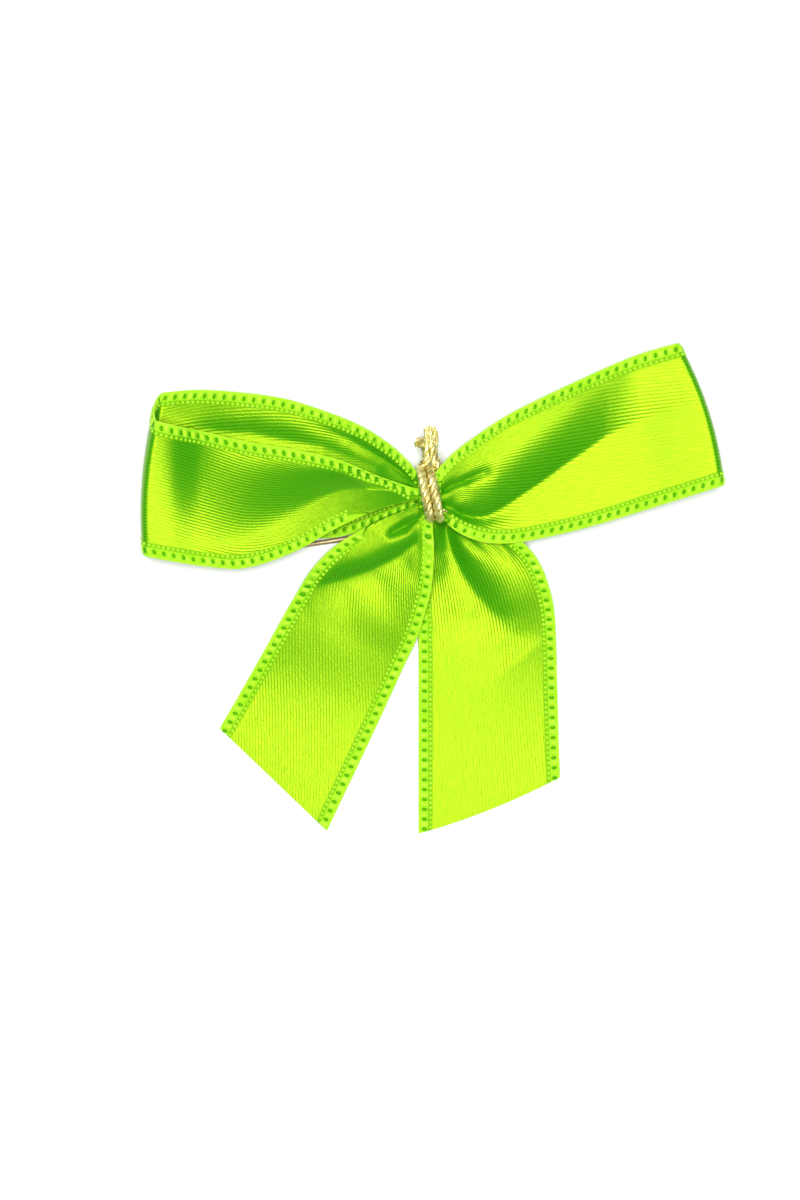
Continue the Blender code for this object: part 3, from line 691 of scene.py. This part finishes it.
def selvage_tree():
    """Woven edge: a rim, teeth across the edge and a row of small beads inside them."""
    tree = Tree("selvage_yarns", [
        ("Tooth pitch", "NodeSocketFloat", TOOTH_PITCH * MM),
        ("Tooth length", "NodeSocketFloat", TOOTH_LENGTH * MM),
        ("Tooth width", "NodeSocketFloat", TOOTH_WIDTH * MM),
        ("Tooth height", "NodeSocketFloat", TOOTH_HEIGHT * MM),
        ("Tooth place", "NodeSocketFloat", TOOTH_PLACE * MM),
        ("Tooth slant", "NodeSocketFloat", TOOTH_SLANT),
        ("Bead pitch", "NodeSocketFloat", BEAD_PITCH * MM),
        ("Bead size", "NodeSocketFloat", BEAD_SIZE * MM),
        ("Bead place", "NodeSocketFloat", BEAD_PLACE * MM),
        ("Rim width", "NodeSocketFloat", RIM_WIDTH * MM),
        ("Rim place", "NodeSocketFloat", RIM_PLACE * MM),
        ("Selvage finish", "NodeSocketMaterial", None),
    ])
    line = tree.add("GeometryNodeMeshToCurve", Mesh=tree.inputs.outputs["Geometry"]).outputs["Curve"]
    tooth = sizes_vector(tree, "Tooth length", "Tooth width", "Tooth height")
    bead = sizes_vector(tree, "Bead size", "Bead size", "Bead size")
    teeth = edge_row(tree, line, tree.size("Tooth pitch"), 0.0, tree.size("Tooth place"), tooth,
                     tree.size("Tooth slant"))
    beads = edge_row(tree, line, tree.size("Bead pitch"), 0.0, tree.size("Bead place"), bead, 0.0)
    inward = tree.attribute("inward")
    rim_line = tree.add("GeometryNodeSetPosition", Geometry=line,
                        Offset=tree.times(inward, tree.size("Rim place")))
    ring = tree.add("GeometryNodeCurvePrimitiveCircle", Resolution=8)
    half_rim = tree.add("ShaderNodeMath", {"operation": "MULTIPLY"}, i0=tree.size("Rim width"), i1=0.5)
    tree.feed(ring, "Radius", half_rim.outputs["Value"])
    rim = tree.add("GeometryNodeCurveToMesh", Curve=rim_line.outputs["Geometry"],
                   **{"Profile Curve": ring.outputs["Curve"], "Fill Caps": True})
    joined = tree.add("GeometryNodeJoinGeometry")
    for geometry in (rim.outputs["Mesh"], beads, teeth):
        tree.group.links.new(geometry, joined.inputs["Geometry"])
    tree.finish(joined.outputs["Geometry"], tree.size("Selvage finish"))
    return tree


def gap_shade_tree():
    """Painted shade: dark blobs in the open places of the weave between the teeth."""
    tree = Tree("selvage_gap_shades", [
        ("Tooth pitch", "NodeSocketFloat", TOOTH_PITCH * MM),
        ("Tooth slant", "NodeSocketFloat", TOOTH_SLANT),
        ("Gap length", "NodeSocketFloat", GAP_LENGTH * MM),
        ("Gap width", "NodeSocketFloat", GAP_WIDTH * MM),
        ("Gap height", "NodeSocketFloat", GAP_HEIGHT * MM),
        ("Gap place", "NodeSocketFloat", GAP_PLACE * MM),
        ("Selvage finish", "NodeSocketMaterial", None),
    ])
    line = tree.add("GeometryNodeMeshToCurve", Mesh=tree.inputs.outputs["Geometry"]).outputs["Curve"]
    gap = sizes_vector(tree, "Gap length", "Gap width", "Gap height")
    gap_shades = edge_row(tree, line, tree.size("Tooth pitch"), 1.0, tree.size("Gap place"), gap,
                    tree.size("Tooth slant"))
    tree.finish(gap_shades, tree.size("Selvage finish"))
    return tree


def set_mode(node, label, value):
    """This choice is a property on some nodes and a menu socket on others."""
    if hasattr(node, "mode"):
        node.mode = value
    else:
        node.inputs["Mode"].default_value = label


def cord_tree():
    """Twisted strands round a path."""
    tree = Tree("twisted_cord", [
        ("Strand width", "NodeSocketFloat", STRAND_DIAMETER * MM),
        ("Orbit", "NodeSocketFloat", STRAND_ORBIT * MM),
        ("Twist pitch", "NodeSocketFloat", STRAND_PITCH * MM),
        ("Step", "NodeSocketFloat", STRAND_STEP * MM),
        ("Sides", "NodeSocketInt", STRAND_SIDES),
        ("Gold", "NodeSocketMaterial", None),
    ])
    line = tree.add("GeometryNodeMeshToCurve", Mesh=tree.inputs.outputs["Geometry"]).outputs["Curve"]
    fine = tree.add("GeometryNodeResampleCurve", Curve=line)
    set_mode(fine, "Length", "LENGTH")
    tree.feed(fine, "Length", tree.size("Step"))
    run = tree.add("GeometryNodeSplineParameter").outputs["Length"]
    tangent = tree.add("GeometryNodeInputTangent").outputs["Tangent"]
    normal = tree.add("GeometryNodeInputNormal").outputs["Normal"]
    turns = tree.add("ShaderNodeMath", {"operation": "DIVIDE"}, i0=run, i1=tree.size("Twist pitch"))
    angle = tree.add("ShaderNodeMath", {"operation": "MULTIPLY"}, i0=turns.outputs["Value"], i1=2 * math.pi)
    half = tree.add("ShaderNodeMath", {"operation": "MULTIPLY"}, i0=tree.size("Strand width"), i1=0.5)
    ring = tree.add("GeometryNodeCurvePrimitiveCircle", Resolution=tree.size("Sides"),
                    Radius=half.outputs["Value"])
    joined = tree.add("GeometryNodeJoinGeometry")
    for strand in range(STRANDS):
        phase = tree.add("ShaderNodeMath", {"operation": "ADD"}, i0=angle.outputs["Value"],
                         i1=2 * math.pi * strand / STRANDS)
        spoke = tree.add("ShaderNodeVectorRotate", {"rotation_type": "AXIS_ANGLE"}, Vector=normal,
                         Axis=tangent, Angle=phase.outputs["Value"])
        moved = tree.add("GeometryNodeSetPosition", Geometry=fine.outputs["Curve"],
                         Offset=tree.times(spoke.outputs["Vector"], tree.size("Orbit")))
        tube = tree.add("GeometryNodeCurveToMesh", Curve=moved.outputs["Geometry"],
                        **{"Profile Curve": ring.outputs["Curve"], "Fill Caps": True})
        tree.group.links.new(tube.outputs["Mesh"], joined.inputs["Geometry"])
    tree.finish(joined.outputs["Geometry"], tree.size("Gold"))
    return tree


def line_mesh(name, points):
    mesh = bpy.data.meshes.new(name)
    mesh.from_pydata([tuple(world(p)) for p in points], [(n, n + 1) for n in range(len(points) - 1)], [])
    return mesh


def tube_mesh(name, points, diameter, sides=16):
    """A round tube through points that are already in place."""
    curve = bpy.data.curves.new(name, "CURVE")
    curve.dimensions = "3D"
    curve.bevel_depth = diameter / 2 * MM
    curve.bevel_resolution = max(sides // 4, 1)
    curve.use_fill_caps = True
    line = curve.splines.new("POLY")
    line.points.add(len(points) - 1)
    for knot, point in zip(line.points, points):
        knot.co = (*world(point), 1.0)
    guide = new_piece(name + "_guide", curve)
    bpy.context.view_layer.update()
    graph = bpy.context.evaluated_depsgraph_get()
    mesh = bpy.data.meshes.new_from_object(guide.evaluated_get(graph), depsgraph=graph)
    bpy.data.objects.remove(guide, do_unlink=True)
    mesh.name = name
    mesh.shade_smooth()
    return mesh


# ---------------------------------------------------------------- finishes
class Finish:
    """A material's node graph round one Principled shader."""

    def __init__(self, name):
        self.material = bpy.data.materials.new(name)
        self.material.use_nodes = True
        self.tree = self.material.node_tree
        self.shader = self.tree.nodes["Principled BSDF"]

    def add(self, kind, settings=None, **sockets):
        node = self.tree.nodes.new(kind)
        for key, value in (settings or {}).items():
            setattr(node, key, value)
        for key, value in sockets.items():
            self.feed(node, key, value)
        return node

    def feed(self, node, key, value):
        numbered = key[0] == "i" and key[1:].isdigit()
        socket = node.inputs[int(key[1:])] if numbered else node.inputs[key]
        if isinstance(value, bpy.types.NodeSocket):
            self.tree.links.new(value, socket)
        else:
            socket.default_value = value

    def math(self, operation, one, other=0.0, third=None):
        node = self.add("ShaderNodeMath", {"operation": operation}, i0=one, i1=other)
        if third is not None:
            self.feed(node, "i2", third)
        return node.outputs["Value"]

    def mix(self, share, one, other):
        node = self.add("ShaderNodeMix", {"data_type": "RGBA"}, i0=share, i6=one, i7=other)
        return node.outputs[2]

    def constants(self, **values):
        for key, value in values.items():
            self.shader.inputs[key.replace("_", " ")].default_value = value

    def out(self, colour, roughness, height, strength, distance):
        self.feed(self.shader, "Base Color", colour)
        self.feed(self.shader, "Roughness", roughness)
        bump = self.add("ShaderNodeBump", Strength=strength, Distance=distance, Height=height)
        self.tree.links.new(bump.outputs["Normal"], self.shader.inputs["Normal"])
        return self.material


SATIN = (0.024, 0.31, 0.003, 1.0)
SATIN_DEEP = (0.010, 0.21, 0.001, 1.0)
SATIN_LIGHT = (0.055, 0.43, 0.006, 1.0)
SATIN_GLOSS = (0.82, 0.92, 0.03, 1.0)
YARN = (0.50, 0.86, 0.05, 1.0)
YARN_DEEP = (0.30, 0.74, 0.012, 1.0)
SELVAGE_GROUND = (0.22, 0.62, 0.012, 1.0)
# Painted shade: the dark band of a selvage along its row of beads
BEAD_ROW_SHADE = (0.05, 0.34, 0.003, 1.0)
# Painted shade: the dark blobs in the gaps between a selvage's teeth
GAP_SHADE = (0.05, 0.32, 0.003, 1.0)
GOLD_DEEP = (0.62, 0.50, 0.13, 1.0)
GOLD_LIGHT = (1.0, 0.94, 0.46, 1.0)
TAN_DEEP = (0.20, 0.12, 0.045, 1.0)
TAN_LIGHT = (0.62, 0.47, 0.24, 1.0)
STEEL_DEEP = (0.35, 0.33, 0.31, 1.0)
STEEL_LIGHT = (0.70, 0.69, 0.67, 1.0)
PAPER_DEEP = (0.95, 0.95, 0.95, 1.0)
PAPER_LIGHT = (0.98, 0.98, 0.98, 1.0)
WEAVE_SOFTNESS = 0.15            # of the line between the satin and its selvage


def satin_finish(name, twill_angle):
    """Satin: long floats along the ribbon, a fine slanting twill, and at its edges a selvage ground with a
    band of painted shade along its row of beads.
    """
    f = Finish(name)
    flat = f.add("ShaderNodeUVMap", {"uv_map": "cloth"}).outputs["UV"]
    turned = f.add("ShaderNodeVectorRotate", {"rotation_type": "Z_AXIS"}, Vector=flat,
                   Angle=math.radians(twill_angle)).outputs["Vector"]
    twill = f.add("ShaderNodeTexWave", {"wave_type": "BANDS", "bands_direction": "X"}, Vector=turned,
                  Scale=0.86, Distortion=1.6, **{"Detail": 2.0, "Detail Scale": 3.0}).outputs["Fac"]
    floats_at = f.add("ShaderNodeMapping", Vector=turned, Scale=(7.0, 1.1, 1.0)).outputs["Vector"]
    floats = f.add("ShaderNodeTexNoise", {"noise_dimensions": "2D"}, Vector=floats_at, Scale=1.0,
                   Detail=2.0).outputs["Fac"]
    cloud = f.add("ShaderNodeTexNoise", {"noise_dimensions": "2D"}, Vector=flat, Scale=0.25,
                  Detail=3.0).outputs["Fac"]
    across = f.add("ShaderNodeSeparateXYZ", Vector=flat).outputs["X"]
    from_middle = f.math("ABSOLUTE", f.math("SUBTRACT", across, RIBBON_WIDTH / 2))
    edge = f.add("ShaderNodeMapRange", {"interpolation_type": "SMOOTHSTEP"}, Value=from_middle,
                 **{"From Min": RIBBON_WIDTH / 2 - SELVAGE_WIDTH - WEAVE_SOFTNESS,
                    "From Max": RIBBON_WIDTH / 2 - SELVAGE_WIDTH + WEAVE_SOFTNESS}).outputs["Result"]
    grain = f.math("ADD", f.math("MULTIPLY", twill, 0.75), f.math("MULTIPLY", floats, 0.35))
    tone = f.math("ADD", grain, f.math("MULTIPLY", cloud, 0.1))
    shade = f.add("ShaderNodeMapRange", Value=tone, **{"From Min": 0.15, "From Max": 1.15}).outputs["Result"]
    body = f.mix(shade, SATIN_DEEP, SATIN_LIGHT)
    body = f.mix(0.25, body, SATIN)
    # The band in from the outer selvage ground, along the row of beads, gets painted shade
    outer = f.add("ShaderNodeMapRange", {"interpolation_type": "SMOOTHSTEP"}, Value=from_middle,
                  **{"From Min": RIBBON_WIDTH / 2 - BEAD_PLACE + 0.15,
                     "From Max": RIBBON_WIDTH / 2 - BEAD_PLACE + 0.40}).outputs["Result"]
    colour = f.mix(edge, body, f.mix(outer, BEAD_ROW_SHADE, SELVAGE_GROUND))
    rough = f.math("ADD", f.math("MULTIPLY", edge, 0.22), f.math("MULTIPLY_ADD", floats, 0.06, 0.35))
    tangent = f.add("ShaderNodeTangent", {"direction_type": "UV_MAP", "uv_map": "cloth"}).outputs["Tangent"]
    f.feed(f.shader, "Tangent", tangent)
    f.constants(Metallic=0.0, Anisotropic=0.2, IOR=2.3, Specular_IOR_Level=0.44, Specular_Tint=SATIN_GLOSS)
    return f.out(colour, rough, grain, 0.45, 0.05 * MM)


def yarn_finish(name, deep, light):
    """The selvage's thicker yarns, with fine fibres; in dark greens the same finish paints the shade in the
    gaps between the teeth.
    """
    f = Finish(name)
    place = f.add("ShaderNodeTexCoord").outputs["Object"]
    fibres = f.add("ShaderNodeTexNoise", Vector=place, Scale=9000.0, Detail=3.0).outputs["Fac"]
    tone = f.add("ShaderNodeTexNoise", Vector=place, Scale=900.0, Detail=2.0).outputs["Fac"]
    share = f.add("ShaderNodeMapRange", Value=f.math("ADD", f.math("MULTIPLY", fibres, 0.5), tone),
                  **{"From Min": 0.5, "From Max": 1.0}).outputs["Result"]
    colour = f.mix(share, deep, light)
    f.constants(IOR=1.6, Specular_Tint=SATIN_GLOSS)
    return f.out(colour, f.math("MULTIPLY_ADD", fibres, 0.2, 0.42), fibres, 0.4, 0.03 * MM)


def gold_finish():
    """Metallised yarn: facets, each of its own tone between a deep and a light gold."""
    f = Finish("gold_thread")
    place = f.add("ShaderNodeTexCoord").outputs["Object"]
    facets = f.add("ShaderNodeTexVoronoi", {"feature": "F1"}, Vector=place, Scale=2200.0).outputs["Color"]
    facet_tone = f.add("ShaderNodeSeparateColor", Color=facets).outputs["Red"]
    fibres = f.add("ShaderNodeTexNoise", Vector=place, Scale=7000.0, Detail=2.0).outputs["Fac"]
    colour = f.mix(facet_tone, GOLD_DEEP, GOLD_LIGHT)
    f.constants(Metallic=0.9)
    return f.out(colour, f.math("MULTIPLY_ADD", fibres, 0.25, 0.33),
                 f.math("ADD", facet_tone, fibres), 0.6, 0.08 * MM)


def coating_finish():
    """The tie's tan coating: a smooth skin with a few darker streaks and scuffs."""
    f = Finish("tan_coating")
    place = f.add("ShaderNodeTexCoord").outputs["Object"]
    streaks_at = f.add("ShaderNodeMapping", Vector=place, Scale=(300.0, 3000.0, 3000.0)).outputs["Vector"]
    streaks = f.add("ShaderNodeTexNoise", Vector=streaks_at, Scale=1.0, Detail=3.0).outputs["Fac"]
    scuffs = f.add("ShaderNodeTexNoise", Vector=place, Scale=1500.0, Detail=4.0).outputs["Fac"]
    colour = f.mix(streaks, TAN_DEEP, TAN_LIGHT)
    f.constants(Metallic=0.3)
    return f.out(colour, f.math("MULTIPLY_ADD", scuffs, 0.3, 0.18), scuffs, 0.3, 0.03 * MM)


def wire_finish():
    """Drawn steel wire: fine lines along it and a few dull spots."""
    f = Finish("drawn_wire")
    place = f.add("ShaderNodeTexCoord").outputs["Object"]
    drawn_at = f.add("ShaderNodeMapping", Vector=place, Scale=(400.0, 6000.0, 6000.0)).outputs["Vector"]
    drawn = f.add("ShaderNodeTexNoise", Vector=drawn_at, Scale=1.0, Detail=3.0).outputs["Fac"]
    spots = f.add("ShaderNodeTexNoise", Vector=place, Scale=2500.0, Detail=2.0).outputs["Fac"]
    colour = f.mix(drawn, STEEL_DEEP, STEEL_LIGHT)
    f.constants(Metallic=1.0)
    return f.out(colour, f.math("MULTIPLY_ADD", spots, 0.35, 0.18), drawn, 0.3, 0.02 * MM)


def paper_finish():
    """Smooth white paper, with a trace of its fibres."""
    f = Finish("white_paper")
    place = f.add("ShaderNodeTexCoord").outputs["Object"]
    fibres = f.add("ShaderNodeTexNoise", Vector=place, Scale=800.0, Detail=3.0).outputs["Fac"]
    colour = f.mix(fibres, PAPER_DEEP, PAPER_LIGHT)
    f.constants(Metallic=0.0)
    return f.out(colour, 0.8, fibres, 0.05, 0.02 * MM)


# ---------------------------------------------------------------- pieces
def dress_ribbon(name, cloth, hidden, finish, selvage_makers, bend, nodes):
    """A length of ribbon with its selvages."""
    grid, length = cloth
    piece = new_piece(name, surface_mesh(name, grid, length), finish)
    thicken(piece, RIBBON_THICKNESS)
    guides = [edge_guide(grid, side, hidden[side]) for side in (0, 1)]
    selvages = join_meshes(name + "_selvages", [
        mesh for tree, selvage_finish in selvage_makers for mesh in run_tree(name + "_edge", guides, tree, {"Selvage finish": selvage_finish})
    ])
    for part in (piece, selvages):
        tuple(bend[0])
        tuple(bend[1])
        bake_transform(part)
    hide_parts(*nodes)


def bend_places(angle, start, end, shift=0.0):
    """Where a piece that lifts starts and ends to bend, along its own heading from the knot."""
    return [world(heading(angle) * reach + Vector((shift, 0.0, KNOT_Z))) for reach in (start, end)]


def make_loops(selvage_makers):
    left = loop_surface(
        LEFT_LOOP_FRONT, LEFT_LOOP_BACK, LOOP_LEFT_ANGLE, LEFT_FRONT_RELIEF, LEFT_BACK_RELIEF,
        FOLD_CROWN_LEFT, {"reach": 6.0, "front": 0.04, "back": 0.20, "count": 3, "phase": 0.0},
        LOOP_LEFT_ROLL, LEFT_FRONT_SLOPE, None,
    )
    dress_ribbon(
        "ribbon_loop_left", left, (9.4, 0.0), satin_finish("satin_loop_left", 8.0), selvage_makers,
        bend_places(LOOP_LEFT_ANGLE, LOOP_BEND_START, LOOP_BEND_END), ["loop_left"],
    )
    right = loop_surface(
        RIGHT_LOOP_FRONT, RIGHT_LOOP_BACK, LOOP_RIGHT_ANGLE, RIGHT_FRONT_RELIEF, RIGHT_BACK_RELIEF,
        FOLD_CROWN_RIGHT, {"reach": 7.0, "front": 0.12, "back": 0.20, "count": 3, "phase": 0.25},
        LOOP_RIGHT_ROLL, RIGHT_FRONT_SLOPE, 2.0,
    )
    dress_ribbon(
        "ribbon_loop_right", right, (2.4, 0.0), satin_finish("satin_loop_right", -10.0), selvage_makers,
        bend_places(LOOP_RIGHT_ANGLE, LOOP_BEND_START, LOOP_BEND_END), ["loop_right"],
    )


def make_tails(selvage_makers):
    left = tail_surface(
        TAIL_LEFT, TAIL_LEFT_RELIEF, {"reach": 7.0, "front": 0.05, "count": 3, "phase": 0.1}, 0.0,
        TAIL_LEFT_ANGLE, TAIL_LEFT_ROLL,
    )
    dress_ribbon(
        "ribbon_tail_left", left, (0.0, 7.0), satin_finish("satin_tail_left", -30.0), selvage_makers,
        bend_places(TAIL_LEFT_ANGLE, TAIL_LEFT_BEND - TAIL_BEND_REACH, TAIL_LEFT_BEND + TAIL_BEND_REACH),
        ["tail_left", "tail_left_gather"],
    )
    right = tail_surface(
        TAIL_RIGHT, TAIL_RIGHT_RELIEF, {"reach": 8.0, "front": 0.09, "count": 3, "phase": 0.4},
        CUT_BOW_RIGHT, TAIL_RIGHT_ANGLE, TAIL_RIGHT_ROLL,
    )
    dress_ribbon(
        "ribbon_tail_right", right, (0.0, 0.0), satin_finish("satin_tail_right", 3.0), selvage_makers,
        bend_places(TAIL_RIGHT_ANGLE, TAIL_RIGHT_BEND - TAIL_BEND_REACH,
                    TAIL_RIGHT_BEND + TAIL_BEND_REACH, TAIL_RIGHT_SHIFT),
        ["tail_right", "tail_right_gather"],
    )


def make_ribbon():
    selvage_makers = [
        (selvage_tree(), yarn_finish("selvage_yarn", YARN_DEEP, YARN)),
        # The gaps between the teeth get dark blobs of painted shade
        (gap_shade_tree(), yarn_finish("selvage_gap_shade", GAP_SHADE, SATIN)),
    ]
    make_loops(selvage_makers)
    make_tails(selvage_makers)


def make_gathered_middle():
    """The ribbon's layers squeezed under the cord."""
    half_width = KNOT_WIDTH / 2 - CORD_DIAMETER - MIDDLE_CLEARANCE
    stations, sides = MIDDLE_STATIONS, MIDDLE_SIDES
    points, faces = [], []
    for station in range(stations + 1):
        along = -1 + 2 * station / stations
        swell = 0.95 + 0.10 * along * along
        for n in range(sides):
            turn = 2 * math.pi * n / sides
            flute = math.cos(MIDDLE_FLUTES * turn + 0.6 * along)
            size = swell * (1 - MIDDLE_FLUTE_DEPTH + MIDDLE_FLUTE_DEPTH * flute)
            points.append(tuple(world((
                along * MIDDLE_HALF_LENGTH, half_width * size * math.cos(turn),
                MIDDLE_Z + MIDDLE_HALF_HEIGHT * size * math.sin(turn),
            ))))
    for station in range(stations):
        for n in range(sides):
            a, b = station * sides + n, station * sides + (n + 1) % sides
            faces.append((a, b, b + sides, a + sides))
    faces.append(tuple(range(sides))[::-1])
    faces.append(tuple(stations * sides + n for n in range(sides)))
    mesh = bpy.data.meshes.new("ribbon_middle")
    mesh.from_pydata(points, [], faces)
    flat = mesh.uv_layers.new(name="cloth")
    for loop in mesh.loops:
        station, n = divmod(loop.vertex_index, sides)
        flat.data[loop.index].uv = (2 + 12 * n / sides, 4 * station / stations)
    mesh.shade_smooth()
    piece = new_piece("ribbon_middle", mesh, satin_finish("satin_middle", 5.0))
    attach(piece, "knot")
    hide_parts("ribbon_centre")


def cord_path():
    """One end, two turns over the front and behind, and the other end."""
    half_w = KNOT_WIDTH / 2 - CORD_RADIUS
    half_h = KNOT_HEIGHT / 2 - CORD_RADIUS
    ring = []
    for step in range(CORD_TURNS * TURN_STEPS + 1):
        turn = 2 * math.pi * step / TURN_STEPS
        y = half_w * math.cos(turn)
        x = CORD_PITCH * ((turn - math.pi / 2) / (2 * math.pi) - 0.5) - CORD_LEAN * y / half_w
        ring.append(Vector((x, y, KNOT_Z + half_h * math.sin(turn))))
    top = KNOT_WIDTH / 2
    first = [
        (-1.25, top + 2.45, KNOT_Z + 0.8), (-1.05, top + 2.75, KNOT_Z + 0.5),
        (-0.60, top + 2.4, KNOT_Z + 0.2), (-0.35, top + 1.4, KNOT_Z), (-0.45, top + 0.6, KNOT_Z - 0.1),
        (-0.85, top, KNOT_Z - 0.45),
    ]
    last = [
        (0.85, top, KNOT_Z + 0.45), (0.50, top + 0.7, KNOT_Z + 0.4), (0.30, top + 1.7, KNOT_Z + 0.2),
        (0.10, top + 3.0, KNOT_Z), (-0.10, top + STUB_LENGTH - 0.5, KNOT_Z + 0.2),
    ]
    return smooth_path([Vector(p) for p in first] + ring + [Vector(p) for p in last], 3)


def frayed_fibres():
    """Loose strands at the cord's two ends, and one loose end beside the knot."""
    top = KNOT_WIDTH / 2
    z = KNOT_Z + 0.1
    bundles = [((0.10, top + 0.8, z), (-0.05, top + STUB_LENGTH, z + 0.2), 16, 0.62),
               ((-0.7, top + 2.3, z), (-1.5, top + 2.5, z + 0.5), 6, 0.3)]
    paths = [[(0.7, top + 0.2, z), (0.95, top + 0.7, z + 0.3), (0.7, top + 1.1, z + 0.3)],
             [(0.55, top + 1.2, z), (0.75, top + 2.6, z + 0.1), (0.75, top + 3.9, z + 0.3)],
             [(1.1, -1.6, z + 0.9), (1.5, -1.75, z + 1.0), (1.9, -2.0, z + 0.7)]]
    for start, end, count, spread in bundles:
        for n in range(count):
            side = spread * (2 * (n + 0.5) / count - 1)
            lift = random.uniform(-0.25, 0.35)
            a, b = Vector(start), Vector(end)
            tip = b + Vector((side, random.uniform(-0.5, 0.25), lift))
            middle = (a + b) / 2 + Vector((side * 0.8, 0.0, lift * 0.6))
            paths.append([a + Vector((side * 0.6, 0.0, lift * 0.4)), middle, tip])
    return [
        tube_mesh("fibre", smooth_path([Vector(p) for p in path], 6), FIBRE_DIAMETER, 8) for path in paths
    ]


def make_cord():
    """The gold cord with its frayed ends, as one piece."""
    gold = gold_finish()
    fibres = frayed_fibres()
    for fibre in fibres:
        fibre.materials.append(gold)
    cord = join_meshes("gold_cord", [
        *run_tree("cord", [line_mesh("cord_line", cord_path())], cord_tree(), {"Gold": gold}), *fibres,
    ])
    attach(cord, "knot")
    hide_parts("binding_cord")


def tie_hinge(leg):
    """Where the upper (0) or lower (1) leg of the tie starts to bend."""
    x = TIE_HINGES[leg]
    slope = math.tan(math.radians(TIE_HEADING - 180))
    return Vector((x, -KNOT_WIDTH / 2 + TIE_INSET - leg * TIE_PITCH + slope * x, TIE_Z))


def make_tie():
    """The coated tie: its middle between the cord and the ribbon, and two legs with bare wire ends."""
    coating, steel = coating_finish(), wire_finish()
    ahead = heading(TIE_HEADING)
    upper, lower = tie_hinge(0), tie_hinge(1)
    inside_z = CORD_BOTTOM + CORD_DIAMETER + TIE_RADIUS + 0.12
    turn_x = CORD_PITCH * 1.5 + CORD_RADIUS + TIE_RADIUS + 0.30
    neck = [
        upper, upper - ahead * 0.5, Vector((-1.75, -2.3, 1.2)), Vector((-1.15, -1.15, inside_z - 0.25)),
        Vector((-0.4, -0.6, inside_z)), Vector((0.6, -0.5, inside_z)),
        Vector((turn_x - 0.7, -0.7, inside_z - 0.1)), Vector((turn_x, -1.3, inside_z - 0.7)),
        Vector((turn_x + 0.1, -2.1, 1.1)), Vector((turn_x - 0.2, -2.85, TIE_Z + 0.15)),
        lower - ahead * 0.35, lower,
    ]
    piece = new_piece("tie_neck", tube_mesh("tie_neck", smooth_path(neck, 8), TIE_DIAMETER), coating)
    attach(piece, "knot")
    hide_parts("tie_neck_coating")
    for leg, name in enumerate(("tie_upper", "tie_lower")):
        start = tie_hinge(leg)
        length = TIE_LEG + (lower.x - upper.x if leg else 0.0)
        parts = (
            ("_leg", length, TIE_DIAMETER, coating, "tie_coating", "_coating"),
            ("_wire", length + TIE_BARE_END, TIE_CORE, steel, "tie_wire", "_core"),
        )
        for ending, reach, diameter, finish, slot, replaced in parts:
            points = [start + ahead * (reach * n / TIE_STEPS) for n in range(TIE_STEPS + 1)]
            piece = new_piece(name + ending, tube_mesh(name + ending, points, diameter), finish)
            world(start)
            world(start + ahead * TIE_BEND_LENGTH)
            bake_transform(piece)
            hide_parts(name + replaced)
    for slot in frame["nodes"]["tie_neck_core"].material_slots:
        slot.material = steel


# ---------------------------------------------------------------- table, light and camera
def make_stage():
    """The sheet of paper that the bow lies on."""
    mesh = bpy.data.meshes.new("paper")
    corners = [(x * TABLE_HALF, y * TABLE_HALF, 0) for x, y in ((-1, -1), (1, -1), (1, 1), (-1, 1))]
    mesh.from_pydata(corners, [], [(0, 1, 2, 3)])
    new_piece("paper", mesh, paper_finish())


def add_light(name, place, target, size, power):
    lamp = bpy.data.lights.new(name, "AREA")
    lamp.shape = "SQUARE"
    lamp.size = size
    lamp.energy = power
    light = bpy.data.objects.new(name, lamp)
    light.location = place
    light.rotation_euler = (Vector(target) - Vector(place)).to_track_quat("-Z", "Y").to_euler()
    bpy.context.scene.collection.objects.link(light)


def light_and_camera():
    scene = bpy.context.scene
    scene.view_settings.view_transform = "Standard"
    sky = bpy.data.worlds.new("studio")
    scene.world = sky
    sky.use_nodes = True
    background = sky.node_tree.nodes["Background"]
    background.inputs["Color"].default_value = (1.0, 1.0, 1.0, 1.0)
    background.inputs["Strength"].default_value = SKY_STRENGTH
    add_light("overhead", LIGHT_PLACE, (0.0, 0.0, 0.0), LIGHT_SIZE, LIGHT_POWER)
    view = bpy.data.cameras.new("front")
    view.lens = CAMERA_LENS
    view.sensor_width = CAMERA_FILM
    view.clip_start = 0.01
    camera = bpy.data.objects.new("front", view)
    camera.location = (KNOT.x + CAMERA_SHIFT[0], KNOT.y + CAMERA_SHIFT[1], CAMERA_HEIGHT)
    scene.collection.objects.link(camera)
    scene.camera = camera


make_stage()
make_ribbon()
make_gathered_middle()
make_cord()
make_tie()
light_and_camera()
